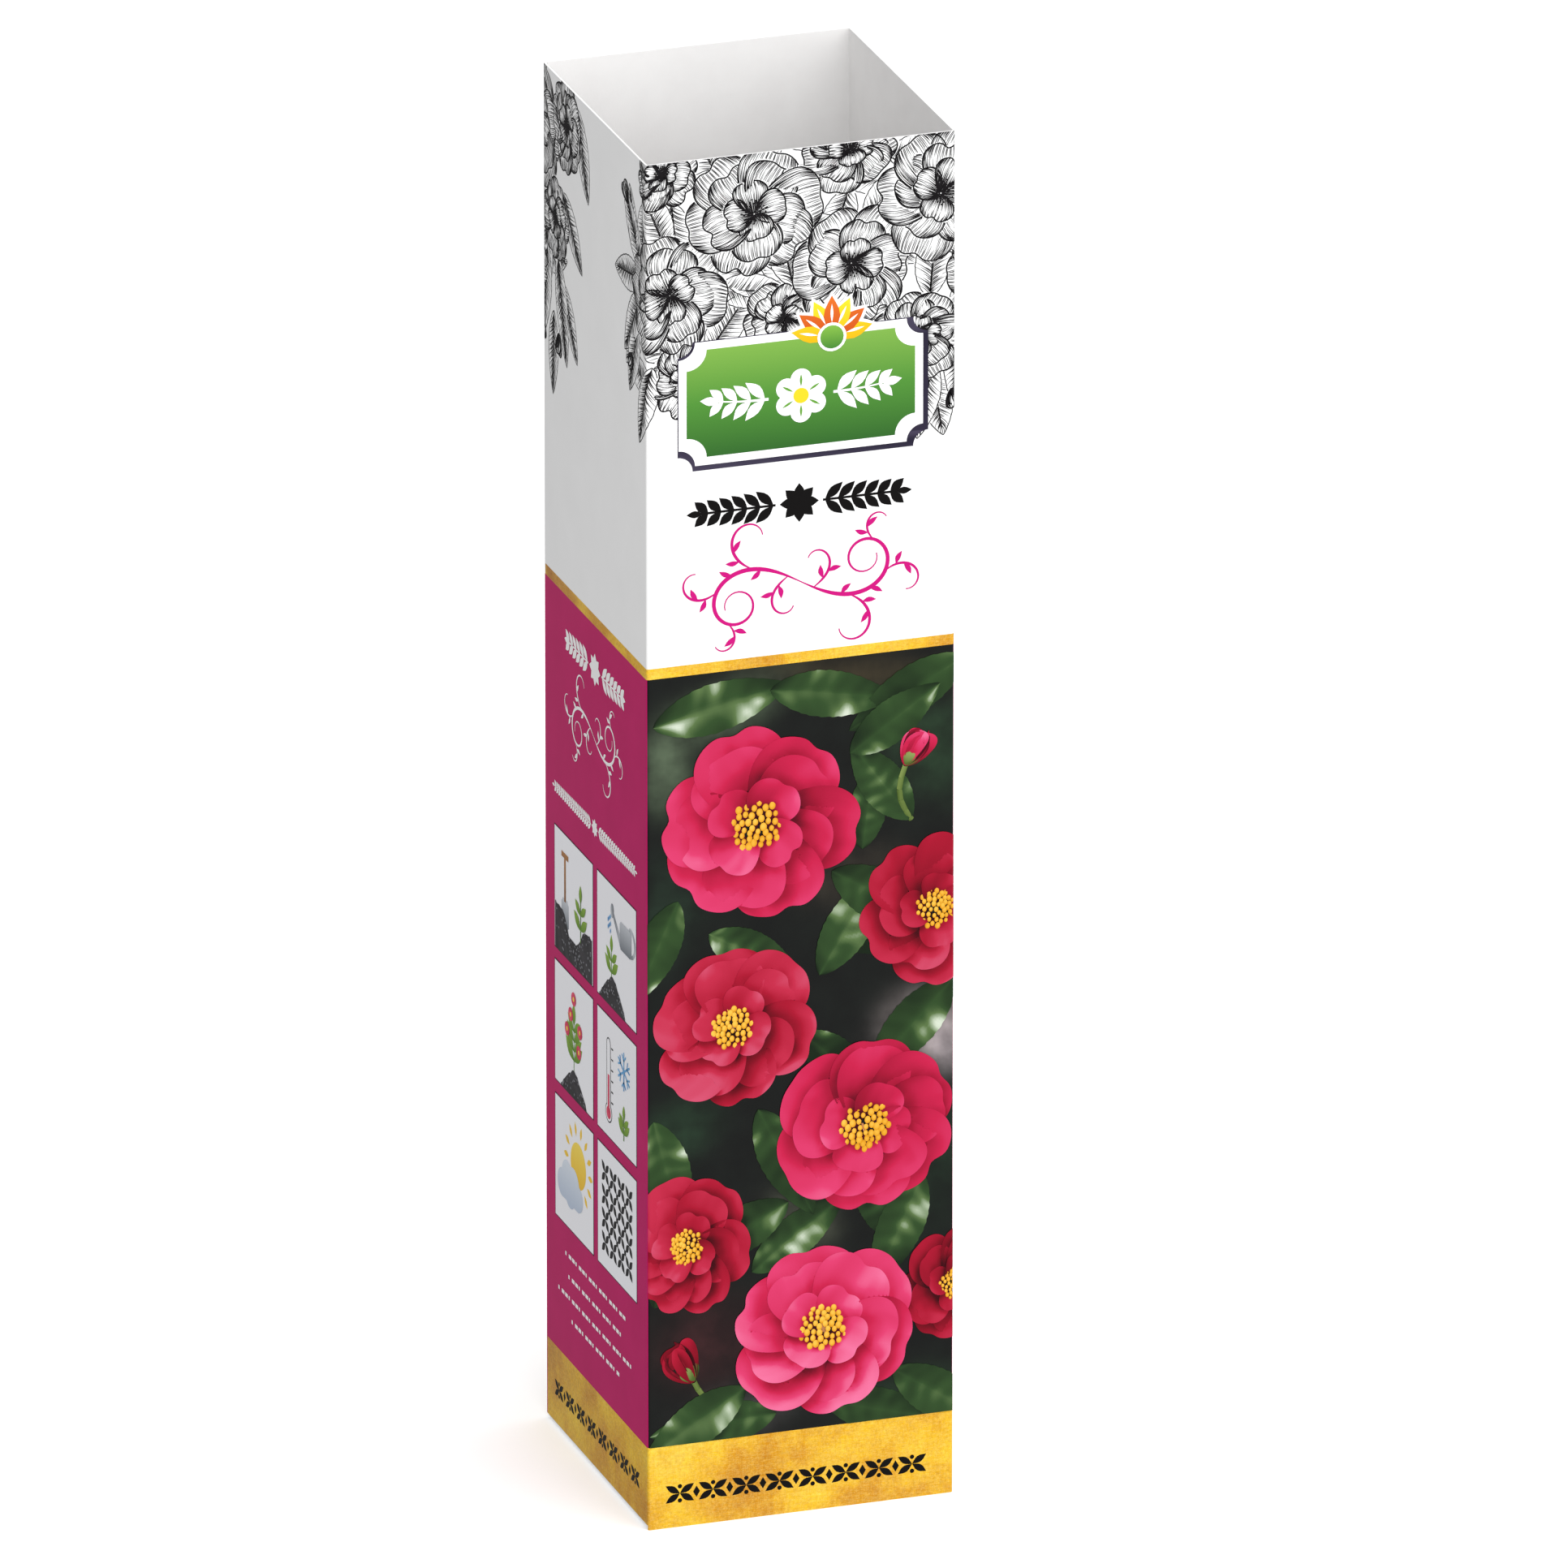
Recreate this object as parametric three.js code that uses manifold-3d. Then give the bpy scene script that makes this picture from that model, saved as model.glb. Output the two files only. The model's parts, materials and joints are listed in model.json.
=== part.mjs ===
// A tall open-topped folding carton for one young garden shrub: a square sleeve of
// white-lined board with a glued side seam and a tuck-in bottom. Millimetres, +Z up.
// The origin is the middle of the underside, and the front faces -Y.
import * as THREE from "three";
import { mergeVertices } from "three/addons/utils/BufferGeometryUtils.js";
import Module from "manifold-3d";

const wasm = await Module();
wasm.setup();

// Driving dimensions
const sleeveWidth = 100; // outside, along X
const sleeveDepth = 100; // outside, along Y
const sleeveHeight = 450;
const board = 0.6; // thickness of the folded board
const creaseRadius = 0.9; // outside radius of the upright folds
const gap = 0.2; // free play between pieces that move past each other

const glueFlapWidth = 14;
const glueFlapTaper = 8; // how far its two ends slope back at the free edge
const glueFlapFoot = 8; // lower end at the fold, clear of the raised dust flap
const glueFlapTopRoom = 4; // upper end below the rim
const gluePlay = 0.1; // glue line under the left panel
const seamSetback = 0.2; // raw edge of the left panel inside the back face

const bottomFlapSideRoom = 1.1; // bottom flap inside the sleeve's outer faces
const tuckHeight = 15;
const tuckSideRoom = 3; // tuck flap inside the sleeve's outer faces
const tuckLean = 5; // degrees that the tuck flap leans inwards
const tuckCorner = 9;

const dustFlapLength = 45;
const dustFrontRoom = 3.5; // keeps the dust flaps behind the tuck flap
const dustBackRoom = 1.8;
const dustFrontTaper = 8.5;
const dustBackTaper = 6;
const dustCorner = 5;

// Sizes that follow from them
const halfBoard = board / 2;
const halfWidth = sleeveWidth / 2;
const halfDepth = sleeveDepth / 2;
const innerHalfWidth = halfWidth - board;
const innerHalfDepth = halfDepth - board;
const bottomHingeY = halfDepth - halfBoard;
const bottomHingeZ = halfBoard;
const tuckFoldY = -innerHalfDepth + gap + halfBoard;
const dustHingeX = innerHalfWidth - halfBoard;
const dustHingeZ = board + gap + halfBoard;
const backPanelFoot = board + gap; // above the bottom flap's fold
const sidePanelFoot = dustHingeZ + halfBoard + gap; // above the dust flaps' folds

// The print's ground colour on each kind of panel, under one clear lacquer
const whitePrint = new THREE.MeshStandardMaterial({
  color: 0xf6f5f3,
  roughness: 0.4,
  metalness: 0,
});
const magentaPrint = new THREE.MeshStandardMaterial({
  color: 0xc42a66,
  roughness: 0.4,
  metalness: 0,
});
const plainBoard = new THREE.MeshStandardMaterial({
  color: 0xe9e5e0,
  roughness: 0.8,
  metalness: 0,
});

// Bases that lay a flat section so that it is extruded along X or along Y
const alongX = new THREE.Matrix4().makeBasis(
  new THREE.Vector3(0, 1, 0),
  new THREE.Vector3(0, 0, 1),
  new THREE.Vector3(1, 0, 0),
);
const alongY = new THREE.Matrix4().makeBasis(
  new THREE.Vector3(0, 0, 1),
  new THREE.Vector3(1, 0, 0),
  new THREE.Vector3(0, 1, 0),
);

// A shape extruded from one level to another along Z, or along X or Y by a basis.
function prism(shape, from, to, basis) {
  const geometry = new THREE.ExtrudeGeometry(shape, {
    depth: to - from,
    bevelEnabled: false,
    curveSegments: 6,
  });
  geometry.translate(0, 0, from);
  if (basis) geometry.applyMatrix4(basis);
  return geometry;
}

function toSolid(geometry) {
  const bare = new THREE.BufferGeometry();
  bare.setAttribute("position", geometry.getAttribute("position"));
  const merged = mergeVertices(bare, 1e-4);
  return new wasm.Manifold(
    new wasm.Mesh({
      numProp: 3,
      vertProperties: merged.attributes.position.array,
      triVerts: new Uint32Array(merged.index.array),
    }),
  );
}

function toGeometry(solid) {
  const mesh = solid.getMesh();
  const geometry = new THREE.BufferGeometry();
  const positions = new THREE.BufferAttribute(mesh.vertProperties, 3);
  geometry.setAttribute("position", positions);
  geometry.setIndex(new THREE.BufferAttribute(mesh.triVerts, 1));
  geometry.computeVertexNormals();
  return geometry;
}

// What two prisms have in common: a board profile cut to its outline on the blank.
function cutSheet(profile, outline) {
  return toGeometry(toSolid(profile).intersect(toSolid(outline)));
}

function named(name, geometry, material) {
  const mesh = new THREE.Mesh(geometry, material);
  mesh.name = name;
  return mesh;
}

// Section of an upright panel whose outer face lies on y = -outerY. Each end is half
// of a rounded fold, cut on the diagonal, or a square raw edge short of the corner.
function panelSection(halfSpan, outerY, rawStart) {
  const section = new THREE.Shape();
  const arcY = -outerY + creaseRadius;
  const arcX = halfSpan - creaseRadius;
  const innerX = halfSpan - board;
  section.moveTo(innerX, -outerY + board);
  if (rawStart) {
    section.lineTo(-halfSpan + seamSetback, -outerY + board);
    section.lineTo(-halfSpan + seamSetback, -outerY);
  } else {
    section.lineTo(-innerX, -outerY + board);
    section.absarc(
      -arcX,
      arcY,
      creaseRadius,
      Math.PI * 1.25,
      Math.PI * 1.5,
      false,
    );
  }
  section.absarc(arcX, arcY, creaseRadius, Math.PI * 1.5, Math.PI * 1.75, false);
  section.closePath();
  return section;
}

// A side of the sleeve, made as the front one and turned to its place.
function sidePanel(name, quarterTurns, foot, material, rawStart = false) {
  const facesY = quarterTurns % 2 === 0;
  const section = panelSection(
    facesY ? halfWidth : halfDepth,
    facesY ? halfDepth : halfWidth,
    rawStart,
  );
  const panel = named(name, prism(section, foot, sleeveHeight), material);
  panel.rotation.z = (quarterTurns * Math.PI) / 2;
  return panel;
}

// The back panel's left end folds in under the left panel, so it stops short of the
// corner by that panel and the glue line.
function backPanel() {
  const foldX = innerHalfWidth - gluePlay;
  const section = new THREE.Shape();
  const arcY = halfDepth - creaseRadius;
  section.moveTo(innerHalfWidth, innerHalfDepth);
  section.absarc(
    halfWidth - creaseRadius,
    arcY,
    creaseRadius,
    Math.PI * 0.25,
    Math.PI * 0.5,
    false,
  );
  section.absarc(
    -foldX + creaseRadius,
    arcY,
    creaseRadius,
    Math.PI * 0.5,
    Math.PI * 0.75,
    false,
  );
  section.lineTo(-foldX + board, innerHalfDepth);
  section.closePath();
  return named("back_panel", prism(section, backPanelFoot, sleeveHeight), whitePrint);
}

function glueFlap() {
  const outerX = -innerHalfWidth + gluePlay;
  const freeY = innerHalfDepth - glueFlapWidth;
  const section = new THREE.Shape();
  section.moveTo(outerX, freeY);
  section.lineTo(outerX + board, freeY);
  section.lineTo(outerX + board, innerHalfDepth);
  section.absarc(
    outerX + creaseRadius,
    halfDepth - creaseRadius,
    creaseRadius,
    Math.PI * 0.75,
    Math.PI,
    false,
  );
  section.closePath();

  const topZ = sleeveHeight - glueFlapTopRoom;
  const outline = new THREE.Shape();
  outline.moveTo(halfDepth, glueFlapFoot);
  outline.lineTo(halfDepth, topZ);
  outline.lineTo(innerHalfDepth, topZ);
  outline.lineTo(freeY, topZ - glueFlapTaper);
  outline.lineTo(freeY, glueFlapFoot + glueFlapTaper);
  outline.lineTo(innerHalfDepth, glueFlapFoot);
  outline.closePath();

  const profile = prism(section, 0, sleeveHeight);
  const cut = prism(outline, -halfWidth, halfWidth, alongX);
  return named("glue_flap", cutSheet(profile, cut), plainBoard);
}

// Section of a flap from its round fold at 0 to its free edge. Where the flap folds
// again, its inner side is cut back by endSlope, so that the next flap can swing.
function flapSection(length, endSlope = 0) {
  const section = new THREE.Shape();
  section.absarc(0, 0, halfBoard, Math.PI * 0.5, Math.PI * 1.5, false);
  section.lineTo(length, -halfBoard);
  section.lineTo(length - endSlope, halfBoard);
  section.closePath();
  return section;
}

// A flat outline with its two far corners rounded: fold edge from start to end, free
// edge at length from freeStart to freeEnd.
function flapOutline(start, end, freeStart, freeEnd, length, corner) {
  const outline = new THREE.Shape();
  const slopeStart = (freeStart - start) / length;
  const slopeEnd = (end - freeEnd) / length;
  outline.moveTo(-board, start);
  outline.lineTo(0, start);
  outline.lineTo(length - corner, freeStart - slopeStart * corner);
  outline.quadraticCurveTo(length, freeStart, length, freeStart + corner);
  outline.lineTo(length, freeEnd - corner);
  outline.quadraticCurveTo(length, freeEnd, length - corner, freeEnd + slopeEnd * corner);
  outline.lineTo(0, end);
  outline.lineTo(-board, end);
  outline.closePath();
  return outline;
}

// The tuck-in bottom: one flap hinged on the back panel, and the tuck flap on its
// front edge, standing inside the front panel.
function bottomClosure() {
  const foldDistance = bottomHingeY - tuckFoldY;
  const halfFlap = halfWidth - bottomFlapSideRoom;
  const halfTuck = halfWidth - tuckSideRoom;

  const hinge = new THREE.Group();
  hinge.position.set(0, bottomHingeY, bottomHingeZ);
  const flapLength = foldDistance - halfBoard - gap;
  const flap = named(
    "bottom_flap",
    prism(flapSection(flapLength, board), -halfFlap, halfFlap, alongX),
    plainBoard,
  );
  flap.rotation.z = Math.PI;
  hinge.add(flap);

  const fold = new THREE.Group();
  fold.position.set(0, -foldDistance, 0);
  fold.rotation.x = THREE.MathUtils.degToRad(-tuckLean);
  const profile = prism(flapSection(tuckHeight), -halfTuck, halfTuck, alongX);
  const outline = prism(
    flapOutline(-halfTuck, halfTuck, -halfTuck, halfTuck, tuckHeight, tuckCorner),
    -board,
    board,
  );
  outline.rotateZ(Math.PI / 2);
  const tuck = named("tuck_flap", cutSheet(profile, outline), plainBoard);
  tuck.rotation.x = Math.PI / 2;
  fold.add(tuck);
  hinge.add(fold);
  return hinge;
}

// A side flap that lies on the bottom flap. side is -1 on the left and 1 on the right,
// which is the left one's shape mirrored and turned about.
function dustFlap(name, side) {
  const front = -halfDepth + dustFrontRoom;
  const back = halfDepth - dustBackRoom;
  const freeFront = front + dustFrontTaper;
  const freeBack = back - dustBackTaper;
  const outlineShape =
    side < 0
      ? flapOutline(front, back, freeFront, freeBack, dustFlapLength, dustCorner)
      : flapOutline(-back, -front, -freeBack, -freeFront, dustFlapLength, dustCorner);

  const profile = prism(flapSection(dustFlapLength), -halfDepth, halfDepth, alongY);
  profile.rotateY(Math.PI / 2);
  const outline = prism(outlineShape, -board, board);
  const flap = named(name, cutSheet(profile, outline), plainBoard);
  flap.position.set(side * dustHingeX, 0, dustHingeZ);
  if (side > 0) flap.rotation.z = Math.PI;
  return flap;
}

const carton = new THREE.Group();
carton.add(sidePanel("front_panel", 0, 0, whitePrint));
carton.add(sidePanel("right_panel", 1, sidePanelFoot, magentaPrint));
carton.add(backPanel());
carton.add(sidePanel("left_panel", 3, sidePanelFoot, magentaPrint, true));
carton.add(glueFlap());
carton.add(bottomClosure());
carton.add(dustFlap("dust_flap_left", -1));
carton.add(dustFlap("dust_flap_right", 1));

export default carton;
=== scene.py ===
# A tall open-topped printed carton for a potted shrub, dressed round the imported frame.
# Prints are modelled flat on the unrolled carton, in millimetres: x runs round it from the front left
# fold, y is the height and z the lift off the board. onCarton() then folds them onto the walls.
import bpy
import bmesh
import json
import math
import random
import time
from mathutils import Matrix, Vector
from mathutils.bvhtree import BVHTree
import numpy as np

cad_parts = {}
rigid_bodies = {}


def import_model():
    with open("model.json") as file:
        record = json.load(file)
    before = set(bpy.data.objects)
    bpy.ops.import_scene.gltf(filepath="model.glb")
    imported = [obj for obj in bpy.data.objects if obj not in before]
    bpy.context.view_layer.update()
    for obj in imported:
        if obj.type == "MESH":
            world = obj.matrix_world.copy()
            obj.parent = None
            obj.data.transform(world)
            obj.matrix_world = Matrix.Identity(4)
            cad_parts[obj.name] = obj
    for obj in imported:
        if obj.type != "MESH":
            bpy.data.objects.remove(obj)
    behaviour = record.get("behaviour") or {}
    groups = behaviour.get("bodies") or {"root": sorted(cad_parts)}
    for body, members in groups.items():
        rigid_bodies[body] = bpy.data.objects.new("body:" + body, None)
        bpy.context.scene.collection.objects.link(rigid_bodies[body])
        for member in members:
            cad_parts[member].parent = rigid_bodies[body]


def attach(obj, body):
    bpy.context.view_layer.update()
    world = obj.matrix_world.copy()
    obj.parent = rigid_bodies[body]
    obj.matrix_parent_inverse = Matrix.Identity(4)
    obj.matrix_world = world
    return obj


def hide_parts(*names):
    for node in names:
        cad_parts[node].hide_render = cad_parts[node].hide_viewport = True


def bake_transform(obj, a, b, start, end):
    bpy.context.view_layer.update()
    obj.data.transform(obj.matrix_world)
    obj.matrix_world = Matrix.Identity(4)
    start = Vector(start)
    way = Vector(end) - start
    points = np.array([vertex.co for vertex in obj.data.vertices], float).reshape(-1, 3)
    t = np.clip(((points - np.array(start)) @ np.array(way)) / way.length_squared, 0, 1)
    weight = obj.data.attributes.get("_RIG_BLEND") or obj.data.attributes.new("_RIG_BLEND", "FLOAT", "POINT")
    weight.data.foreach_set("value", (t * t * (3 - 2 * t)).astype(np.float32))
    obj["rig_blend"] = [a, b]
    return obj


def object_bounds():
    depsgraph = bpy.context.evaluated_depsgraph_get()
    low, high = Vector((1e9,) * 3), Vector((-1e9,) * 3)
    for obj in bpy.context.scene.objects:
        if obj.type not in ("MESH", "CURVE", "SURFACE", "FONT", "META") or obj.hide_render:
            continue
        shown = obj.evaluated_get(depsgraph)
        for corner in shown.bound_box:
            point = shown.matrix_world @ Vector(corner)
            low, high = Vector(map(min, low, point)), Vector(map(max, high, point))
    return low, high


for startObject in list(bpy.data.objects):
    bpy.data.objects.remove(startObject)
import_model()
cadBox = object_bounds()
mm = 0.001
up = Vector((0, 0, 1))
begun = time.time()

carton = {
    "width": (cadBox[1].x - cadBox[0].x) / mm,
    "height": cadBox[1].z / mm,
    "board": 0.6,
    "fold": 0.9,  # outside radius of the upright creases
    "foldSteps": 6,
    "seamCentre": 48.4,  # the back's last crease is set in by the glue flap
    "rawEdge": 49.8,  # where the left wall ends, over the glue flap
    "glueFlap": 14,
    "glueTaper": 8,
    "glueFoot": 8,
    "glueTop": 4,
    "footBack": 0.8,  # how far the back and the sides stand clear of the flaps folded under them
    "footSide": 1.6,
    "baseBand": 27.5,  # top of the gold band
    "lineLow": 282,  # the gold line
    "lineHigh": 285.5,
    "printStart": -99.75,  # where prints stop at the glued seam
    "printEnd": 298.9,
}
half = carton["width"] / 2
straight = half - carton["fold"]  # where the flat of a wall ends


# Colours and nodes
def colour(red, green, blue):  # screen values from 0 to 255 as a linear colour
    def linear(value):
        value /= 255
        return value / 12.92 if value <= 0.04045 else ((value + 0.055) / 1.055) ** 2.4
    return (linear(red), linear(green), linear(blue), 1)


def grey(value):
    return (value, value, value, 1)


def stops(*shades):  # a ramp's stops from (place, red, green, blue)
    return [(place, colour(*shade)) for place, *shade in shades]


def feed(node, inputs):  # gives a node's inputs their values or links
    for key, value in inputs.items():
        if isinstance(value, bpy.types.NodeSocket):
            node.id_data.links.new(value, node.inputs[key])
        else:
            node.inputs[key].default_value = value


def addNode(tree, kind, inputs={}, **settings):
    node = tree.nodes.new(kind)
    for name, value in settings.items():
        setattr(node, name, value)
    feed(node, inputs)
    return node


def noise(tree, vector, scale, detail=4, roughness=0.55, stretch=(1, 1, 1)):
    placed = addNode(tree, "ShaderNodeMapping", {"Vector": vector, "Scale": stretch}).outputs[0]
    return addNode(tree, "ShaderNodeTexNoise", {"Vector": placed, "Scale": scale, "Detail": detail,
                                                "Roughness": roughness}).outputs["Fac"]


def ramp(tree, value, shades):
    node = addNode(tree, "ShaderNodeValToRGB", {"Fac": value})
    elements = node.color_ramp.elements
    while len(elements) < len(shades):
        elements.new(1)
    for element, (place, shade) in zip(elements, shades):
        element.position = place
        element.color = shade
    return node.outputs["Color"]


def mix(tree, factor, first, second, blend="MIX"):
    return addNode(tree, "ShaderNodeMix", {0: factor, 6: first, 7: second},
                   data_type="RGBA", blend_type=blend).outputs[2]


def maths(tree, operation, *values, clamp=False):
    return addNode(tree, "ShaderNodeMath", dict(enumerate(values)), operation=operation,
                   use_clamp=clamp).outputs[0]


def bump(tree, height, strength, distance):
    return addNode(tree, "ShaderNodeBump", {"Height": height, "Strength": strength,
                                            "Distance": distance}).outputs["Normal"]


def objectPlace(tree):
    return addNode(tree, "ShaderNodeTexCoord").outputs["Object"]


def sheetPlace(tree):  # the piece's own map
    return addNode(tree, "ShaderNodeUVMap", uv_map="OFBake").outputs["UV"]


def newMaterial(name, roughness, gloss=0.15):
    material = bpy.data.materials.new(name)
    material.use_nodes = True
    shader = material.node_tree.nodes["Principled BSDF"]
    feed(shader, {"Roughness": roughness, "Specular IOR Level": gloss})
    return material, material.node_tree, shader


# Board or ink with a faint mottle and the tooth of the paper under it.
paper = {"mottle": 60, "fibre": 2600, "fibreStretch": (1, 1, 0.35), "depth": 0.00004}


def boardMaterial(name, light, dark, roughness, mottle=paper["mottle"], tooth=0.12, gloss=0.15):
    material, tree, shader = newMaterial(name, roughness, gloss)
    place = objectPlace(tree)
    cloud = ramp(tree, noise(tree, place, mottle), [(0.3, dark), (0.7, light)])
    fibre = noise(tree, place, paper["fibre"], 3, 0.7, paper["fibreStretch"])
    feed(shader, {"Base Color": cloud, "Normal": bump(tree, fibre, tooth, paper["depth"])})
    return material


gilding = {
    "roughness": 0.38,
    "leaf": 34,  # scales of the noise: the leaf's clouds, its worn patches, scratches and grain
    "patch": 85,
    "scratch": 190,
    "grain": 900,
    "shades": stops((0.30, 188, 118, 12), (0.43, 218, 156, 20), (0.52, 238, 186, 30),
                    (0.62, 248, 203, 44), (0.78, 254, 222, 84)),
    "worn": colour(190, 112, 18),
    "bright": colour(255, 236, 150),
    "scratches": (((1, 1, 9), 0.30), ((9, 9, 1), 0.20)),  # lying and standing, with their strength
}


def goldMaterial():
    material, tree, shader = newMaterial("goldPrint", gilding["roughness"])
    place = objectPlace(tree)
    base = ramp(tree, noise(tree, place, gilding["leaf"], 7, 0.62), gilding["shades"])
    patch = ramp(tree, noise(tree, place, gilding["patch"], 8, 0.7), [(0.36, grey(0)), (0.62, grey(1))])
    base = mix(tree, patch, mix(tree, 0.34, base, gilding["worn"]), base)
    for stretch, strength in gilding["scratches"]:
        scratch = noise(tree, place, gilding["scratch"], 5, 0.75, stretch)
        lines = ramp(tree, scratch, [(0.47, grey(0)), (0.5, grey(strength)), (0.53, grey(0))])
        base = mix(tree, lines, base, gilding["bright"])
    grain = noise(tree, place, gilding["grain"], 5, 0.8)
    speck = ramp(tree, grain, [(0.34, (0.74, 0.70, 0.60, 1)), (0.62, grey(1))])
    feed(shader, {"Base Color": mix(tree, 1.0, base, speck, "MULTIPLY"),
                  "Normal": bump(tree, grain, 0.15, 0.00005)})
    return material


# Inks of a print: the piece's own map holds, at every corner, a shade across and an ink up. One ramp
# for each ink, with a sharp step from each row of the map to the next.
def inkMaterial(name, inks, roughness=0.36):
    material, tree, shader = newMaterial(name, roughness, 0.07)
    split = addNode(tree, "ShaderNodeSeparateXYZ", {"Vector": sheetPlace(tree)})
    base, sharpness = None, 8
    for row, shades in enumerate(inks.values()):
        if not isinstance(shades, list):
            shades = [(0, shades), (1, shades)]
        shade = ramp(tree, split.outputs["X"], shades)
        if row:
            step = maths(tree, "MULTIPLY_ADD", split.outputs["Y"], sharpness * len(inks),
                         0.5 - sharpness * row, clamp=True)
            shade = mix(tree, step, base, shade)
        base = shade
    feed(shader, {"Base Color": base})
    return material


finishes = {
    "white": boardMaterial("whiteCoatedBoard", grey(0.93), grey(0.905), 0.34),
    "magenta": boardMaterial("magentaInk", (0.53, 0.016, 0.137, 1), (0.49, 0.014, 0.125, 1), 0.36,
                             gloss=0.04),
    "inside": boardMaterial("uncoatedInside", (0.83, 0.822, 0.816, 1), (0.80, 0.79, 0.785, 1), 0.72,
                            mottle=90, tooth=0.5),
    "core": boardMaterial("boardEdge", (0.90, 0.90, 0.895, 1), (0.80, 0.795, 0.79, 1), 0.8,
                          mottle=900, tooth=0.6),
    "gold": goldMaterial(),
}


# Folding prints onto the carton
def onCarton(u, height, lift):
    side = math.floor(u / carton["width"])
    along = u - (side + 0.5) * carton["width"]
    centre = carton["seamCentre"] if side == 2 and along > 0 else straight
    x, out = along, half + lift
    if abs(along) > centre:
        turn = (abs(along) - centre) / carton["fold"] * math.pi / 4
        x = math.copysign(centre + (carton["fold"] + lift) * math.sin(turn), along)
        out = straight + (carton["fold"] + lift) * math.cos(turn)
    cos, sin = math.cos(side * math.pi / 2), math.sin(side * math.pi / 2)
    return Vector((x * cos + out * sin, x * sin - out * cos, height))


def belowFoot(spot):  # the walls stand clear of the flaps folded under them
    if abs(spot.x) > half - 0.1:
        return spot.z < carton["footSide"]
    return spot.y > straight and spot.z < carton["footBack"]


def cutAt(bm, axis, place, drop=None):  # drop is "above" or "below"
    normal, spot = Vector(), Vector()
    normal[axis] = 1
    spot[axis] = place
    bmesh.ops.bisect_plane(bm, geom=bm.verts[:] + bm.edges[:] + bm.faces[:], dist=1e-5, plane_co=spot,
                           plane_no=normal, clear_outer=drop == "above", clear_inner=drop == "below")


def scoreFolds(bm):  # cuts a flat print wherever the board turns
    reach = [v.co.x for v in bm.verts]
    for corner in range(-1, 4):
        for step in range(-3, 4):
            line = corner * carton["width"] + carton["fold"] * step / 3
            if corner == 3 and step < 0:
                line -= straight - carton["seamCentre"]
            if min(reach) + 0.01 < line < max(reach) - 0.01:
                cutAt(bm, 0, line)


def foldOntoCarton(bm):
    scoreFolds(bm)
    for vert in bm.verts:
        vert.co = onCarton(*vert.co)


def newPrint():
    bm = bmesh.new()
    bm.loops.layers.uv.new("OFBake")
    return bm


def newGrid(bm, columns, rows, size=1):
    return bmesh.ops.create_grid(bm, x_segments=columns, y_segments=rows, size=size)["verts"]


def smoothFaces(bm):
    for face in bm.faces:
        face.smooth = True


def dropFaces(bm, faces):
    bmesh.ops.delete(bm, geom=faces, context="FACES")


def pieceFrom(name, bm, materials, body="sleeve"):
    mesh = bpy.data.meshes.new(name)
    bm.to_mesh(mesh)
    bm.free()
    mesh.transform(Matrix.Scale(mm, 4))
    for material in materials:
        mesh.materials.append(material)
    mesh.set_sharp_from_angle(angle=math.radians(35))
    piece = bpy.data.objects.new(name, mesh)
    bpy.context.scene.collection.objects.link(piece)
    if body:
        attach(piece, body)
    print("STAGE", name, len(mesh.polygons), "faces", round(time.time() - begun, 1), "s")
    return piece


def printTwice(name, bm, material):  # the back and right walls repeat the front and the left
    other = bm.copy()
    bmesh.ops.translate(other, verts=other.verts, vec=(2 * carton["width"], 0, 0))
    for part, walls in ((bm, "front"), (other, "back")):
        cutAt(part, 0, carton["printStart"], "below")
        cutAt(part, 0, carton["printEnd"], "above")
        foldOntoCarton(part)
        pieceFrom(f"{name}_{walls}", part, [material])


# The board: sleeve and flaps
def thicken(bm, outsideOf):  # gives a sheet its board thickness, with its outside kept outside
    bmesh.ops.recalc_face_normals(bm, faces=bm.faces[:])
    if sum(outsideOf(face) for face in bm.faces) < 0:
        bmesh.ops.reverse_faces(bm, faces=bm.faces[:])
    bmesh.ops.solidify(bm, geom=bm.faces[:], thickness=carton["board"])
    bm.normal_update()


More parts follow.
